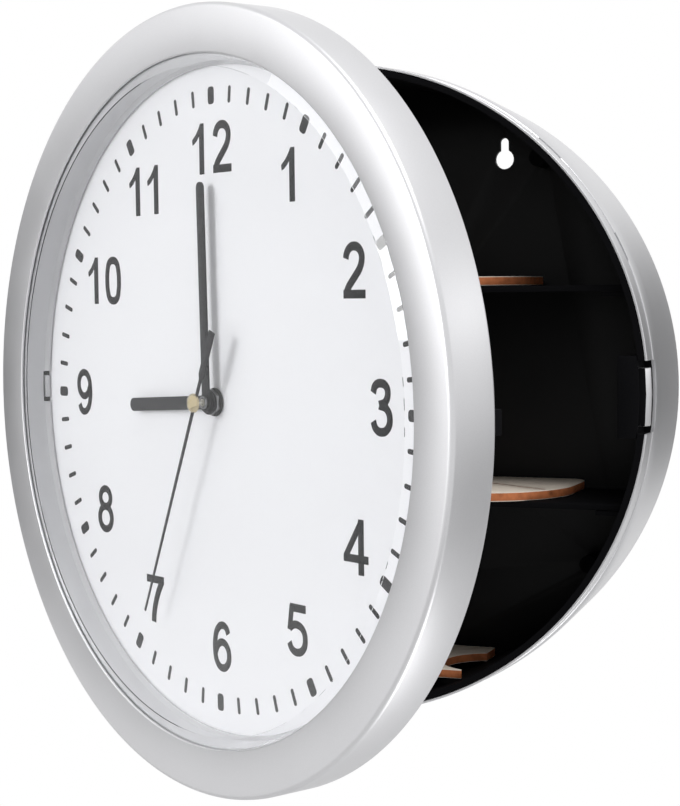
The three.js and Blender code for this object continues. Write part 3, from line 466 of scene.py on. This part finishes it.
def rodPiece(radius, y, x=0, z=0, sides=32):
    deselectAll()
    bpy.ops.mesh.primitive_cylinder_add(
        vertices=sides,
        radius=radius * mm,
        depth=(y[1] - y[0]) * mm,
        location=(x * mm, (y[0] + y[1]) / 2 * mm, z * mm),
        rotation=(math.pi / 2, 0, 0),
    )
    piece = bpy.context.object
    settle(piece)
    return piece


def carve(piece, cutter):
    boolean = piece.modifiers.new("carve", "BOOLEAN")
    boolean.operation = "DIFFERENCE"
    boolean.solver = "EXACT"
    boolean.object = cutter
    applyModifier(piece, "carve")
    bpy.data.objects.remove(cutter)


def joinPieces(pieces):
    deselectAll()
    for piece in pieces:
        piece.select_set(True)
    bpy.context.view_layer.objects.active = pieces[0]
    if len(pieces) > 1:
        bpy.ops.object.join()
    return pieces[0]


def softenEdges(piece, width, segments=2, angle=38):
    bevel = piece.modifiers.new("soften", "BEVEL")
    bevel.width = width * mm
    bevel.segments = segments
    bevel.limit_method = "ANGLE"
    bevel.angle_limit = math.radians(angle)
    applyModifier(piece, "soften")


def nodeCopy(name):
    # a node's loose triangles are merged, and the flat ones made whole faces again
    piece = bpy.data.objects.new(name, nodes[name].data.copy())
    bpy.context.scene.collection.objects.link(piece)
    keepOnly(piece)
    bpy.ops.object.mode_set(mode="EDIT")
    bpy.ops.mesh.select_all(action="SELECT")
    bpy.ops.mesh.remove_doubles(threshold=0.001 * mm)
    bpy.ops.mesh.dissolve_limited(angle_limit=math.radians(0.5))
    bpy.ops.object.mode_set(mode="OBJECT")
    return piece


def copyPiece(piece):
    twin = piece.copy()
    twin.data = piece.data.copy()
    bpy.context.scene.collection.objects.link(twin)
    return twin


def finishPiece(piece, name, body, finish, replaced=(), place=noTurn, smooth=35):
    settle(piece, place)
    if smooth:
        bpy.ops.object.shade_smooth_by_angle(angle=math.radians(smooth))
    piece.name = name
    piece.data.name = name
    piece.data.materials.clear()
    piece.data.materials.append(finish)
    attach(piece, body)
    if replaced:
        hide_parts(*replaced)
    return piece


# The silver case behind the door
caseWall = {
    "rimY": -72,
    "rimRadius": 143,
    "bore": 142,
    "grooveDepth": 0.5,
    "grooveFrom": -61.8,
    "grooveTo": -61,
    "swollen": 144,
    "swollenY": -52,
    "backRadius": 141.6,
    "backBore": 140.6,
    "straightY": -48,
    "slitAngles": (43.6, 64.6, 295.4, 316.4),
    "slitLength": 13,
    "slitWidth": 1.8,
    "slitDepth": 0.8,
    "catch": {"rise": -1.2, "height": 30.4, "depth": 12.6, "inwards": 4},
    "screwY": -67.9,
    "screwRise": 16.5,
    "screwBore": 1.6,
    "sides": 240,
}


def caseWallPiece():
    c = caseWall
    swell = []
    for i in range(9):
        a = math.pi / 2 * i / 8
        r = c["rimRadius"] + (c["swollen"] - c["rimRadius"]) * math.sin(a)
        swell.append((r, c["grooveTo"] + (c["swollenY"] - c["grooveTo"]) * (1 - math.cos(a))))
    wall = turnedPiece(
        [
            (c["bore"], c["rimY"]),
            (c["rimRadius"], c["rimY"], 0.3),
            (c["rimRadius"], c["grooveFrom"], 0.12),
            (c["rimRadius"] - c["grooveDepth"], c["grooveFrom"]),
            (c["rimRadius"] - c["grooveDepth"], c["grooveTo"]),
            *swell,
            (c["backRadius"], 0, 0.9),
            (c["backBore"], 0),
            (c["bore"], c["straightY"]),
        ],
        c["sides"],
    )
    k = c["catch"]
    z = (k["rise"] - k["height"] / 2, k["rise"] + k["height"] / 2)
    x = (c["bore"] - k["inwards"], c["swollen"] + overrun)
    carve(wall, blockPiece(x, (c["rimY"] - overrun, c["rimY"] + k["depth"]), z))
    middle = (c["grooveFrom"] + c["grooveTo"]) / 2
    for angle in c["slitAngles"]:
        half = c["slitLength"] / 2
        slit = blockPiece(
            (-half, half),
            (middle - c["slitWidth"] / 2, middle + c["slitWidth"] / 2),
            (c["rimRadius"] - c["slitDepth"], c["swollen"] + overrun),
        )
        settle(slit, Matrix.Rotation(math.radians(angle), 4, "Y"))
        carve(wall, slit)
    for side in (-1, 1):
        hole = rodPiece(c["screwBore"], (-6, 6))
        toSide = move(-c["rimRadius"], c["screwY"], side * c["screwRise"])
        settle(hole, toSide @ Matrix.Rotation(math.pi / 2, 4, "Z"))
        carve(wall, hole)
    return finishPiece(wall, "silverCaseWall", "case", silverPaint, ["case_shell"], smooth=28)


caseWallPiece()
report("case wall made")

# The front ring of the door
bezel = {
    "radius": 157.48,
    "lip": 138,
    "front": -14,
    "lipBack": -13.1,
    "back": 6,
    "wall": 2.5,
    "lensSeat": 139.9,
    "lensBack": -12.1,
    "edgeRound": 2,
    "bossRadius": 3.8,
    "bossCircle": 150,
    "bossAngles": (45, 135, 225, 315),
    "bossEnd": 1,
    "bossBite": 0.5,
    "relief": {"inner": -147.65, "depth": 11.8, "half": 40},
    "sides": 288,
}


def bezelPiece():
    b = bezel
    skirt = b["radius"] - b["wall"]
    ring = turnedPiece(
        [
            (b["lip"], b["lipBack"]),
            (b["lip"], b["front"], 0.5),
            (b["radius"], b["front"], b["edgeRound"]),
            (b["radius"], b["back"], 0.9),
            (skirt, b["back"], 0.2),
            (skirt, b["lensBack"]),
            (b["lensSeat"], b["lensBack"]),
            (b["lensSeat"], b["lipBack"]),
        ],
        b["sides"],
    )
    cut = b["relief"]  # room for the hinge
    x = (-b["radius"] - overrun, cut["inner"])
    carve(ring, blockPiece(x, (b["back"] - cut["depth"], b["back"] + overrun), (-cut["half"], cut["half"])))
    pieces = [ring]
    for angle in b["bossAngles"]:
        x, z = onClock(b["bossCircle"], angle)
        pieces.append(rodPiece(b["bossRadius"], (b["lensBack"] - b["bossBite"], b["bossEnd"]), x, z))
    ring = joinPieces(pieces)
    return finishPiece(
        ring, "silverFrontRing", "door", silverPaint, ["bezel_ring"], toDoor, 28
    )


bezelPiece()
report("front ring made")

# The clear lens: its middle stands forward and a bevel runs all round
lens = {
    "radius": 139.6,
    "flat": 133.3,
    "bevelEnd": 137.7,
    "front": -14,
    "step": 1.2,
    "thickness": 0.7,
    "shift": 0.2,
    "sides": 240,
}


def lensPiece():
    n = lens
    low = n["front"] + n["step"]
    disc = turnedPiece(
        [
            (0, n["front"]),
            (n["flat"], n["front"]),
            (n["bevelEnd"], low),
            (n["radius"], low),
            (n["radius"], low + n["thickness"]),
            (n["bevelEnd"] - n["shift"], low + n["thickness"]),
            (n["flat"] - n["shift"], n["front"] + n["thickness"]),
            (0, n["front"] + n["thickness"]),
        ],
        n["sides"],
    )
    return finishPiece(disc, "clearFrontLens", "door", clearLens, ["lens"], toDoor, 6)


lensPiece()

# The grey wall between the lens and the dial, with a lighter step at its foot
recess = {
    "top": 137.4,
    "front": -11.8,
    "flange": 144.4,
    "flangeBack": -10.6,
    "outer": (139, 136),
    "foot": {"radius": 135.75, "depth": -2.9, "inner": 134.4, "innerDepth": -1.5},
    "back": -0.3,
    "window": {"rise": 2, "height": 14, "depth": 3.1, "reach": 3.2},
    "sides": 288,
}


def recessPiece():
    c = recess
    foot = c["foot"]
    wall = turnedPiece(
        [
            (c["top"], c["front"], 0.25),
            (c["flange"], c["front"]),
            (c["flange"], c["flangeBack"]),
            (c["outer"][0], c["flangeBack"]),
            (c["outer"][1], c["back"]),
            (foot["inner"], c["back"], 0.15),
            (foot["inner"], foot["innerDepth"], 0.3),
            (foot["radius"], foot["depth"], 0.2),
        ],
        c["sides"],
    )
    w = c["window"]
    z = (w["rise"] - w["height"] / 2, w["rise"] + w["height"] / 2)
    x = (-c["top"] - w["reach"], -foot["inner"] + w["reach"])
    carve(wall, blockPiece(x, (c["back"] - w["depth"], overrun), z))
    return finishPiece(wall, "greyRecessWall", "door", recessGrey, ["recess_ring"], toDoor, 25)


recessPiece()

dial = {"bore": 4.3, "radius": 136.4, "thickness": 1, "sides": 240}


def dialPiece():
    d = dial
    plate = turnedPiece(
        [(d["bore"], 0), (d["radius"], 0, 0.1), (d["radius"], d["thickness"]), (d["bore"], d["thickness"])],
        d["sides"],
    )
    return finishPiece(plate, "whiteDial", "door", dialPaper, ["dial_plate"], toDoor)


dialPiece()
report("lens, recess and dial made")

# Numerals, drawn as pen strokes in millimetres from each digit's lower left corner
pen = {
    "1": [{"outline": [(5.2, 0), (8.7, 0), (8.7, 20.5), (6.1, 20.5), (4.7, 18.3), (2.7, 16.1), (0.1, 14.1),
                       (0.5, 12.0), (1.6, 12.4), (3.5, 13.6), (5.2, 15.3)]}],
    "2": [{"line": [(1.9, 14.5), (2.5, 16.5), (4.2, 18.4), (6.5, 19.0), (9.2, 18.3), (11.0, 16.0),
                    (11.0, 13.4), (9.9, 10.9), (7.7, 8.5), (4.9, 5.8), (2.7, 3.2), (1.9, 1.0)],
           "width": 3.3, "smooth": True},
          {"line": [(0.3, 1.6), (13.1, 1.6)], "width": 3.2}],
    "3": [{"line": [(1.9, 15.6), (3.1, 18.2), (6.3, 19.2), (9.3, 18.0), (10.1, 15.5), (8.6, 12.5),
                    (5.2, 11.3)], "width": 3.2, "smooth": True},
          {"line": [(5.2, 11.3), (9.4, 10.0), (11.1, 6.5), (9.8, 3.0), (6.4, 1.6), (3.1, 2.8), (1.8, 5.4)],
           "width": 3.2, "smooth": True}],
    "4": [{"line": [(10.25, 0), (10.25, 20.6)], "width": 3.3},
          {"line": [(0, 5.9), (14.5, 5.9)], "width": 3.0},
          {"line": [(10.3, 19.6), (1.1, 6.2)], "width": 2.8}],
    "5": [{"line": [(2.4, 18.8), (12.4, 18.8)], "width": 3.2},
          {"line": [(3.6, 19.6), (2.0, 9.9)], "width": 2.9},
          {"line": [(2.0, 10.6), (4.3, 12.0), (7.2, 12.3), (10.7, 10.6), (11.9, 7.2), (10.6, 3.3), (6.8, 1.6),
                    (3.3, 2.6), (1.7, 5.0)], "width": 3.1, "smooth": True}],
    "6": [{"line": [(11.3, 16.0), (9.9, 18.3), (7.2, 19.2), (3.8, 17.3), (2.0, 13.0), (1.8, 8.6), (3.2, 3.6),
                    (6.8, 1.6), (10.4, 3.2), (11.7, 6.9), (10.4, 10.6), (7.2, 12.2), (4.0, 10.8), (2.3, 8.0)],
           "width": 3.1, "smooth": True}],
    "7": [{"line": [(0, 18.5), (13.5, 18.5)], "width": 3.3},
          {"line": [(12.2, 18.3), (9.2, 13.6), (6.7, 8.0), (5.5, 3.4), (5.1, 0)],
           "width": 3.5, "smooth": True}],
    "8": [{"ring": (6.6, 15.5), "reach": (4.2, 3.9), "width": 3.1},
          {"ring": (6.6, 6.5), "reach": (5.0, 5.0), "width": 3.2}],
    "0": [{"ring": (6.6, 10.3), "reach": (4.9, 8.8), "width": 3.3, "square": 0.35}],
    "9": [{"turned": "6", "width": 13.5, "height": 20.7}],
}
inkDepth = {"under": 0.02, "over": 0.03, "step": 0.004}
numerals = {
    "12": [("1", -14.1, 91.75), ("2", 0.6, 91.8)],
    "1": [("1", 46.4, 78.0)],
    "2": [("2", 83.4, 41.25)],
    "3": [("3", 98.3, -8.25)],
    "4": [("4", 82.0, -59.9)],
    "5": [("5", 45.9, -95.9)],
    "6": [("6", -5.1, -110.0)],
    "7": [("7", -54.7, -96.5)],
    "8": [("8", -94.5, -61.6)],
    "9": [("9", -110.9, -10.0)],
    "10": [("1", -99.0, 39.8), ("0", -84.4, 39.6)],
    "11": [("1", -63.1, 77.1), ("1", -48.7, 77.3)],
}


def strokeCurve(points, smooth, closed):
    curve = bpy.data.curves.new("penStroke", "CURVE")
    curve.dimensions = "2D"
    curve.resolution_u = 8
    kind = "BEZIER" if smooth else "POLY"
    spline = curve.splines.new(kind)
    target = spline.bezier_points if smooth else spline.points
    target.add(len(points) - 1)
    for knot, (x, z) in zip(target, points):
        knot.co = (x * mm, z * mm, 0) if smooth else (x * mm, z * mm, 0, 1)
        if smooth:
            knot.handle_left_type = "AUTO"
            knot.handle_right_type = "AUTO"
    spline.use_cyclic_u = closed
    piece = bpy.data.objects.new("penStroke", curve)
    bpy.context.scene.collection.objects.link(piece)
    return piece


def ringPoints(stroke):
    # an oval whose sides may be straighter than an ellipse's
    points = []
    (middleX, middleZ), (reachX, reachZ) = stroke["ring"], stroke["reach"]
    power = 1 - stroke.get("square", 0)
    for i in range(12):
        a = math.tau * i / 12
        c, s = math.cos(a), math.sin(a)
        x = math.copysign(abs(c) ** power, c) if power < 1 else c
        points.append((middleX + reachX * x, middleZ + reachZ * s))
    return points


def strokePiece(stroke, order):
    # each stroke lies a hair above the last, so no two faces share a plane
    under = inkDepth["under"]
    top = inkDepth["over"] + order * inkDepth["step"]
    if "outline" in stroke:
        piece = strokeCurve(stroke["outline"], False, True)
        piece.data.fill_mode = "BOTH"
        piece.data.extrude = (top + under) / 2 * mm
        lift = (top - under) / 2
    else:
        half = stroke["width"] / 2
        nib = strokeCurve([(-half, -under), (half, -under), (half, top), (-half, top)], False, True)
        closed = "ring" in stroke
        points = ringPoints(stroke) if closed else stroke["line"]
        piece = strokeCurve(points, closed or stroke.get("smooth", False), closed)
        piece.data.bevel_mode = "OBJECT"
        piece.data.bevel_object = nib
        piece.data.use_fill_caps = True
        lift = 0
    keepOnly(piece)
    bpy.ops.object.convert(target="MESH")
    if "outline" not in stroke:
        bpy.data.objects.remove(nib)
    settle(piece, move(0, 0, lift))
    return piece


def digitPiece(digit):
    strokes = pen[digit]
    if "turned" in strokes[0]:
        s = strokes[0]
        piece = digitPiece(s["turned"])
        settle(piece, move(s["width"], 0, s["height"]) @ Matrix.Rotation(math.pi, 4, "Y"))
        return piece
    piece = joinPieces([strokePiece(stroke, i) for i, stroke in enumerate(strokes)])
    settle(piece, Matrix.Rotation(math.pi / 2, 4, "X"))  # from lying flat to facing the front
    bpy.ops.object.mode_set(mode="EDIT")
    bpy.ops.mesh.select_all(action="SELECT")
    bpy.ops.mesh.remove_doubles(threshold=0.0005 * mm)
    bpy.ops.mesh.normals_make_consistent(inside=False)
    bpy.ops.object.mode_set(mode="OBJECT")
    return piece


def numeralPieces():
    drawn = {digit: digitPiece(digit) for digit in pen}
    for number, digits in numerals.items():
        parts = []
        for digit, x, z in digits:
            part = copyPiece(drawn[digit])
            settle(part, move(x, 0, z))
            parts.append(part)
        name = "numeral_" + number
        finishPiece(joinPieces(parts), name, "door", printInk, place=toDoor, smooth=0)
    for piece in drawn.values():
        bpy.data.objects.remove(piece)


numeralPieces()
report("numerals made")

# The minute track: rounded marks printed round the dial
track = {
    "circle": 122.8,
    "hour": {"width": 4.3, "height": 7, "round": 1.4},
    "minute": {"width": 1.9, "height": 6.8, "round": 0.9},
}


def markPiece(shape):
    mark = blockPiece(
        (-shape["width"] / 2, shape["width"] / 2),
        (-inkDepth["over"], inkDepth["under"]),
        (-shape["height"] / 2, shape["height"] / 2),
    )
    bpy.ops.object.mode_set(mode="EDIT")
    bpy.ops.mesh.select_mode(type="EDGE")
    bpy.ops.object.mode_set(mode="OBJECT")
    for edge in mark.data.edges:  # the four edges that run from front to back are rounded
        ends = [mark.data.vertices[v].co for v in edge.vertices]
        edge.select = abs(ends[0].y - ends[1].y) > 0.5 * inkDepth["over"] * mm
    for face in mark.data.polygons:
        face.select = False
    bpy.ops.object.mode_set(mode="EDIT")
    bpy.ops.mesh.bevel(offset=shape["round"] * mm, segments=5, affect="EDGES")
    bpy.ops.object.mode_set(mode="OBJECT")
    return mark


def trackPieces():
    for kind, name in (("hour", "hourMarks"), ("minute", "minuteMarks")):
        pattern = markPiece(track[kind])
        marks = []
        for minute in range(60):
            if (minute % 5 == 0) == (kind == "hour"):
                x, z = onClock(track["circle"], 6 * minute)
                mark = copyPiece(pattern)
                settle(mark, move(x, 0, z) @ Matrix.Rotation(math.radians(6 * minute), 4, "Y"))
                marks.append(mark)
        finishPiece(joinPieces(marks), name, "door", printInk, place=toDoor, smooth=0)
        bpy.data.objects.remove(pattern)


trackPieces()
report("minute track made")

# The brass cap on the second hand
cap = {"radius": 3.9, "back": -10.7, "rim": 0.2, "height": 2, "sides": 64}


def capPiece():
    c = cap
    rim = c["back"] - c["rim"]
    dome = []
    for i in range(1, 9):
        a = math.pi / 2 * i / 8
        dome.append((c["radius"] * math.cos(a), rim - c["height"] * math.sin(a)))
    dome[-1] = (0, rim - c["height"])
    button = turnedPiece([(0, c["back"]), (c["radius"], c["back"]), (c["radius"], rim), *dome], c["sides"])
    return finishPiece(button, "brassHandCap", "seconds", paleBrass, ["second_hand_cap"], toDoor, 50)


capPiece()

# Pan-head screws with a crossed recess, modelled once for each size and copied
screws = {
    "door": {"head": 2.9, "height": 1.6, "shank": 1.3, "length": 8, "circle": 150, "start": 45, "seat": 5.1},
    "back": {"head": 2.8, "height": 1.1, "shank": 1.3, "length": 9, "circle": 131, "start": 38, "seat": -0.2},
    "slot": {"length": 3.4, "width": 0.7, "depth": 0.8},
    "sides": 40,
}


def screwPiece(kind):
    # drawn with the head's outside at zero depth and the tip towards the front
    s, slot = screws[kind], screws["slot"]
    tip = -(s["height"] + s["length"])
    screw = turnedPiece(
        [
            (0, 0),
            (s["head"] * 0.55, 0, 0.5),
            (s["head"], -s["height"] * 0.6, 0.35),
            (s["head"], -s["height"]),
            (s["shank"], -s["height"]),
            (s["shank"], tip + 1),
            (0, tip),
        ],
        screws["sides"],
    )
    half, thin = slot["length"] / 2, slot["width"] / 2
    carve(screw, blockPiece((-half, half), (-slot["depth"], overrun), (-thin, thin)))
    carve(screw, blockPiece((-thin, thin), (-slot["depth"], overrun), (-half, half)))
    return screw


def screwPieces():
    for kind, body, place in (("door", "door", toDoor), ("back", "case", noTurn)):
        s = screws[kind]
        pattern = screwPiece(kind)
        for i in range(4):
            x, z = onClock(s["circle"], s["start"] + 90 * i)
            name, node = "%sScrew_%d" % (kind, i + 1), "%s_screw_%d" % (kind, i + 1)
            seat = place @ move(x, s["seat"], z)
            finishPiece(copyPiece(pattern), name, body, darkSteel, [node], seat)
        bpy.data.objects.remove(pattern)


screwPieces()
report("cap and screws made")

# The saw line across the lower board's top
sawLine = {"from": (48, -22.2), "to": (93.4, -51.3), "top": -42.9, "width": 2.2, "depth": 1.2}


def boardPieces():
    for name in ("upper_board", "lower_board", "bottom_board"):
        board = nodeCopy(name)
        softenEdges(board, 0.25)
        if name == "lower_board":
            start, end = Vector(sawLine["from"]), Vector(sawLine["to"])
            half = (end - start).length / 2
            thin = sawLine["width"] / 2
            cutter = blockPiece((-half, half), (-thin, thin), (-sawLine["depth"], overrun))
            angle = math.atan2(end.y - start.y, end.x - start.x)
            middle = (start + end) / 2
            settle(cutter, move(middle.x, middle.y, sawLine["top"]) @ Matrix.Rotation(angle, 4, "Z"))
            carve(board, cutter)
        finishPiece(board, name + "_wood", "case", boardFinishes[name], [name])


boardPieces()
report("boards made")

# The time-setting knob with its ribbed edge
knob = {"radius": 4.75, "rib": 0.25, "front": 20.1, "back": 22.7, "x": 11, "ribs": 30}


def knobPiece():
    wheel = rodPiece(knob["radius"], (knob["front"], knob["back"]), sides=2 * knob["ribs"])
    for face in wheel.data.polygons:  # every other side becomes a rib
        n = face.normal
        turn = math.atan2(n.x, n.z) / math.tau * 2 * knob["ribs"]
        face.select = abs(n.y) < 0.5 and int(math.floor(turn + 0.25)) % 2 == 0
    bpy.ops.object.mode_set(mode="EDIT")
    bpy.ops.mesh.select_mode(type="FACE")
    bpy.ops.mesh.extrude_faces_move(TRANSFORM_OT_shrink_fatten={"value": knob["rib"] * mm})
    bpy.ops.object.mode_set(mode="OBJECT")
    place = toDoor @ move(knob["x"], 0, 0)
    return finishPiece(
        wheel, "ribbedSettingKnob", "minute_setting", blackPlastic, ["setting_knob"], place
    )


knobPiece()

# The rest of the visible pieces keep their own shape, with eased edges
easedPieces = {
    "hour_hand": ("hours", handPaint, "hand_black", 0.14),
    "minute_hand": ("minutes", handPaint, "hand_black", 0.14),
    "second_hand": ("seconds", handPaint, "hand_black", 0.1),
    "minute_nut": ("minutes", greyNut, "steel", 0.12),
    "mounting_nut": ("door", greyNut, "steel", 0.15),
    "dial_washer": ("door", washerRubber, "black_rubber", 0.12),
    "dial_clip": ("door", recessGrey, "grey_gloss", 0.25),
    "strike_lug": ("door", innerPlastic, "black_plastic", 0.3),
    "latch_tab": ("latch", silverPaint, "case_silver", 0.2),
    "latch_guide": ("case", innerPlastic, "black_plastic", 0.3),
    "hinge_bracket": ("case", blackPlastic, "black_plastic", 0.35),
    "hinge_pin": ("case", brushedSteel, "steel", 0.2),
    "upper_shelf": ("case", innerPlastic, "black_plastic", 0.3),
    "lower_shelf": ("case", innerPlastic, "black_plastic", 0.3),
    "movement_housing": ("door", blackPlastic, "black_plastic", 0.4),
    "movement_cover": ("door", blackPlastic, "black_plastic", 0.25),
    "battery": ("door", batterySleeve, "battery_sleeve", 0.3),
    "back_plate": ("case", blackPlastic, "black_plastic", 0.2),
    "door_backing": ("door", innerPlastic, "black_plastic", 0.2),
    "case_liner": ("case", innerPlastic, "black_plastic", 0),
}


def easePieces():
    for name, (body, finish, slot, width) in easedPieces.items():
        piece = nodeCopy(name)
        if width:
            softenEdges(piece, width)
        finishPiece(piece, name + "_eased", body, finish, [name])
        if name == "latch_tab":
            # only the tab's outside is painted silver; its front shows the black plastic
            piece.data.materials.append(innerPlastic)
            for face in piece.data.polygons:
                face.material_index = 1 if face.normal.y < -0.6 else 0


easePieces()
report("eased pieces made")

# Finishes of the nodes that stay as they are
keptFinishes = {
    "threaded_bushing": paleBrass,
    "hinge_screw_upper": darkSteel,
    "hinge_screw_lower": darkSteel,
    "battery_contact_positive": brushedSteel,
    "battery_contact_negative": brushedSteel,
    "motor_coil": copperWire,
    "motor_stator": darkSteel,
    "circuit_board": circuitGreen,
    "rotor": brushedSteel,
    "hour_wheel": whiteNylon,
    "centre_wheel": whiteNylon,
    "second_wheel": whiteNylon,
    "third_wheel": whiteNylon,
    "minute_wheel": whiteNylon,
    "stepping_wheel": whiteNylon,
}
for name, node in nodes.items():
    node.data.materials.clear()
    node.data.materials.append(keptFinishes.get(name, blackPlastic))

# The camera stands where the photograph was taken from
cameraPlace = {"eye": (293.632, -795.064, 43.341), "turn": (86.44569, 0.69357, 21.63854), "lens": 79.1393}


def addCamera():
    data = bpy.data.cameras.new("camera")
    camera = bpy.data.objects.new("camera", data)
    bpy.context.scene.collection.objects.link(camera)
    camera.location = Vector(cameraPlace["eye"]) * mm
    camera.rotation_euler = Euler([math.radians(a) for a in cameraPlace["turn"]], "XYZ")
    data.lens = cameraPlace["lens"]
    data.sensor_width = 36
    data.sensor_fit = "AUTO"
    data.clip_start = 0.01
    data.clip_end = 100
    bpy.context.scene.camera = camera


addCamera()
bpy.context.scene.view_settings.view_transform = "Standard"

# Studio: white surroundings, a soft key from the left, lamps over and under the safe, and
# grey cards that only show in reflections
studio = {
    "ambient": 0.66,
    "aim": (0, -0.1, 0),
    "floorDrop": 1.3,
    "floorRadius": 3.2,
    "floorTones": (0.84, 0.9),
    "floorWhite": 0.75,
    "cardFade": 0.3,
    "key": {"at": (-1.25, -1.52, 0.46), "size": 0.7, "watts": 11.5},
    "top": {"at": (0.5, -0.45, 1.5), "size": 0.9, "watts": 14},
    "under": {"at": (0.6, -0.2, -1.2), "size": 0.8, "watts": 5.5},
    "cards": {
        "leftCard": {"at": (-1.75, 0.3, -0.05), "width": 2.4, "height": 1.1, "tone": 0.06},
        "keyCard": {"at": (-1.6, -1.0, 0.6), "width": 0.8, "height": 1.8, "tone": 3.0},
        "lowCard": {"at": (-1.6, -0.4, -0.8), "width": 1.2, "height": 0.62, "tone": 1.0},
        "sideCard": {"at": (1.5, 0.17, 0.53), "width": 0.9, "height": 0.45, "tone": 2.2},
        "rightCard": {"at": (0.9, 1.3, 0), "width": 1.9, "height": 1.15, "tone": 0.08},
        "lowSideCard": {"at": (1.5, 0.17, -0.5), "width": 1.0, "height": 0.9, "tone": 0.3},
    },
}


def addWorld():
    world = bpy.data.worlds.new("studio")
    bpy.context.scene.world = world
    world.use_nodes = True
    tree = world.node_tree
    tree.nodes.clear()
    out = tree.nodes.new("ShaderNodeOutputWorld")
    mix = tree.nodes.new("ShaderNodeMixShader")
    seen = tree.nodes.new("ShaderNodeBackground")
    seen.inputs["Color"].default_value = (1, 1, 1, 1)
    seen.inputs["Strength"].default_value = 1.0
    fill = tree.nodes.new("ShaderNodeBackground")
    fill.inputs["Color"].default_value = (1, 1, 1, 1)
    fill.inputs["Strength"].default_value = studio["ambient"]
    path = tree.nodes.new("ShaderNodeLightPath")
    seenOrShiny = addMath(tree, "MAXIMUM", path.outputs["Is Camera Ray"], path.outputs["Is Glossy Ray"])
    anySeen = addMath(tree, "MAXIMUM", seenOrShiny, path.outputs["Is Transmission Ray"])
    unbounced = addMath(tree, "LESS_THAN", path.outputs["Diffuse Depth"], 0.5)
    tree.links.new(addMath(tree, "MULTIPLY", anySeen, unbounced), mix.inputs["Fac"])
    tree.links.new(fill.outputs["Background"], mix.inputs[1])
    tree.links.new(seen.outputs["Background"], mix.inputs[2])
    tree.links.new(mix.outputs["Shader"], out.inputs["Surface"])


def addFloor():
    # pale and nearly white to the camera, but still taking the shadow
    deselectAll()
    bpy.ops.mesh.primitive_circle_add(
        vertices=96, radius=studio["floorRadius"], fill_type="NGON", location=(0, 0, -studio["floorDrop"])
    )
    floor = bpy.context.object
    settle(floor)
    floor.name = "paleFloor"
    material, tree, shader = newMaterial("paleFloor", specular=0.1)
    vector = placedCoordinates(tree)
    speckle = addNoise(tree, vector, 40.0, 3.0)
    low, high = [(tone, tone, tone, 1) for tone in studio["floorTones"]]
    tree.links.new(addMix(tree, speckle, low, high), shader.inputs["Base Color"])
    shader.inputs["Roughness"].default_value = 0.9
    white = tree.nodes.new("ShaderNodeEmission")
    white.inputs["Strength"].default_value = 1.0
    path = tree.nodes.new("ShaderNodeLightPath")
    share = addMath(tree, "MULTIPLY", path.outputs["Is Camera Ray"], studio["floorWhite"])
    mix = tree.nodes.new("ShaderNodeMixShader")
    tree.links.new(share, mix.inputs["Fac"])
    tree.links.new(shader.outputs["BSDF"], mix.inputs[1])
    tree.links.new(white.outputs["Emission"], mix.inputs[2])
    tree.links.new(mix.outputs["Shader"], tree.nodes["Material Output"].inputs["Surface"])
    floor.data.materials.append(material)


def addLamp(name, lamp):
    data = bpy.data.lights.new(name, "AREA")
    data.shape = "DISK"
    data.size = lamp["size"]
    data.energy = lamp["watts"]
    light = bpy.data.objects.new(name, data)
    bpy.context.scene.collection.objects.link(light)
    light.location = lamp["at"]
    light.rotation_mode = "QUATERNION"
    light.rotation_quaternion = (Vector(studio["aim"]) - Vector(lamp["at"])).to_track_quat("-Z", "Y")
    light.visible_transmission = False  # the lens already lets the lamp's shadow rays through


def addCard(name, card):
    # a glowing sheet with soft upper and lower edges, unseen by the camera, that metal and glass reflect
    deselectAll()
    bpy.ops.mesh.primitive_plane_add(size=1)
    sheet = bpy.context.object
    turn = (Vector(studio["aim"]) - Vector(card["at"])).to_track_quat("Z", "Y").to_matrix().to_4x4()
    size = Matrix.Diagonal((card["width"], card["height"], 1, 1))
    settle(sheet, Matrix.Translation(card["at"]) @ turn @ size)
    sheet.name = name
    material, tree, shader = newMaterial(name)
    glow = tree.nodes.new("ShaderNodeEmission")
    glow.inputs["Color"].default_value = (1, 1, 1, 1)
    glow.inputs["Strength"].default_value = card["tone"]
    place = tree.nodes.new("ShaderNodeTexCoord")
    split = tree.nodes.new("ShaderNodeSeparateXYZ")
    tree.links.new(place.outputs["UV"], split.inputs["Vector"])
    fromEdge = addMath(tree, "PINGPONG", split.outputs["Y"], 0.5)
    soft = tree.nodes.new("ShaderNodeMapRange")
    soft.interpolation_type = "SMOOTHSTEP"
    soft.inputs["From Max"].default_value = studio["cardFade"]
    tree.links.new(fromEdge, soft.inputs["Value"])
    clear = tree.nodes.new("ShaderNodeBsdfTransparent")
    mix = tree.nodes.new("ShaderNodeMixShader")
    tree.links.new(soft.outputs["Result"], mix.inputs["Fac"])
    tree.links.new(clear.outputs["BSDF"], mix.inputs[1])
    tree.links.new(glow.outputs["Emission"], mix.inputs[2])
    tree.links.new(mix.outputs["Shader"], tree.nodes["Material Output"].inputs["Surface"])
    sheet.data.materials.append(material)
    sheet.visible_camera = False
    sheet.visible_diffuse = False
    sheet.visible_shadow = False
    sheet.visible_transmission = False


addWorld()
addFloor()
for name in ("key", "top", "under"):
    addLamp(name + "Lamp", studio[name])
for name, card in studio["cards"].items():
    addCard(name, card)
report("studio set")
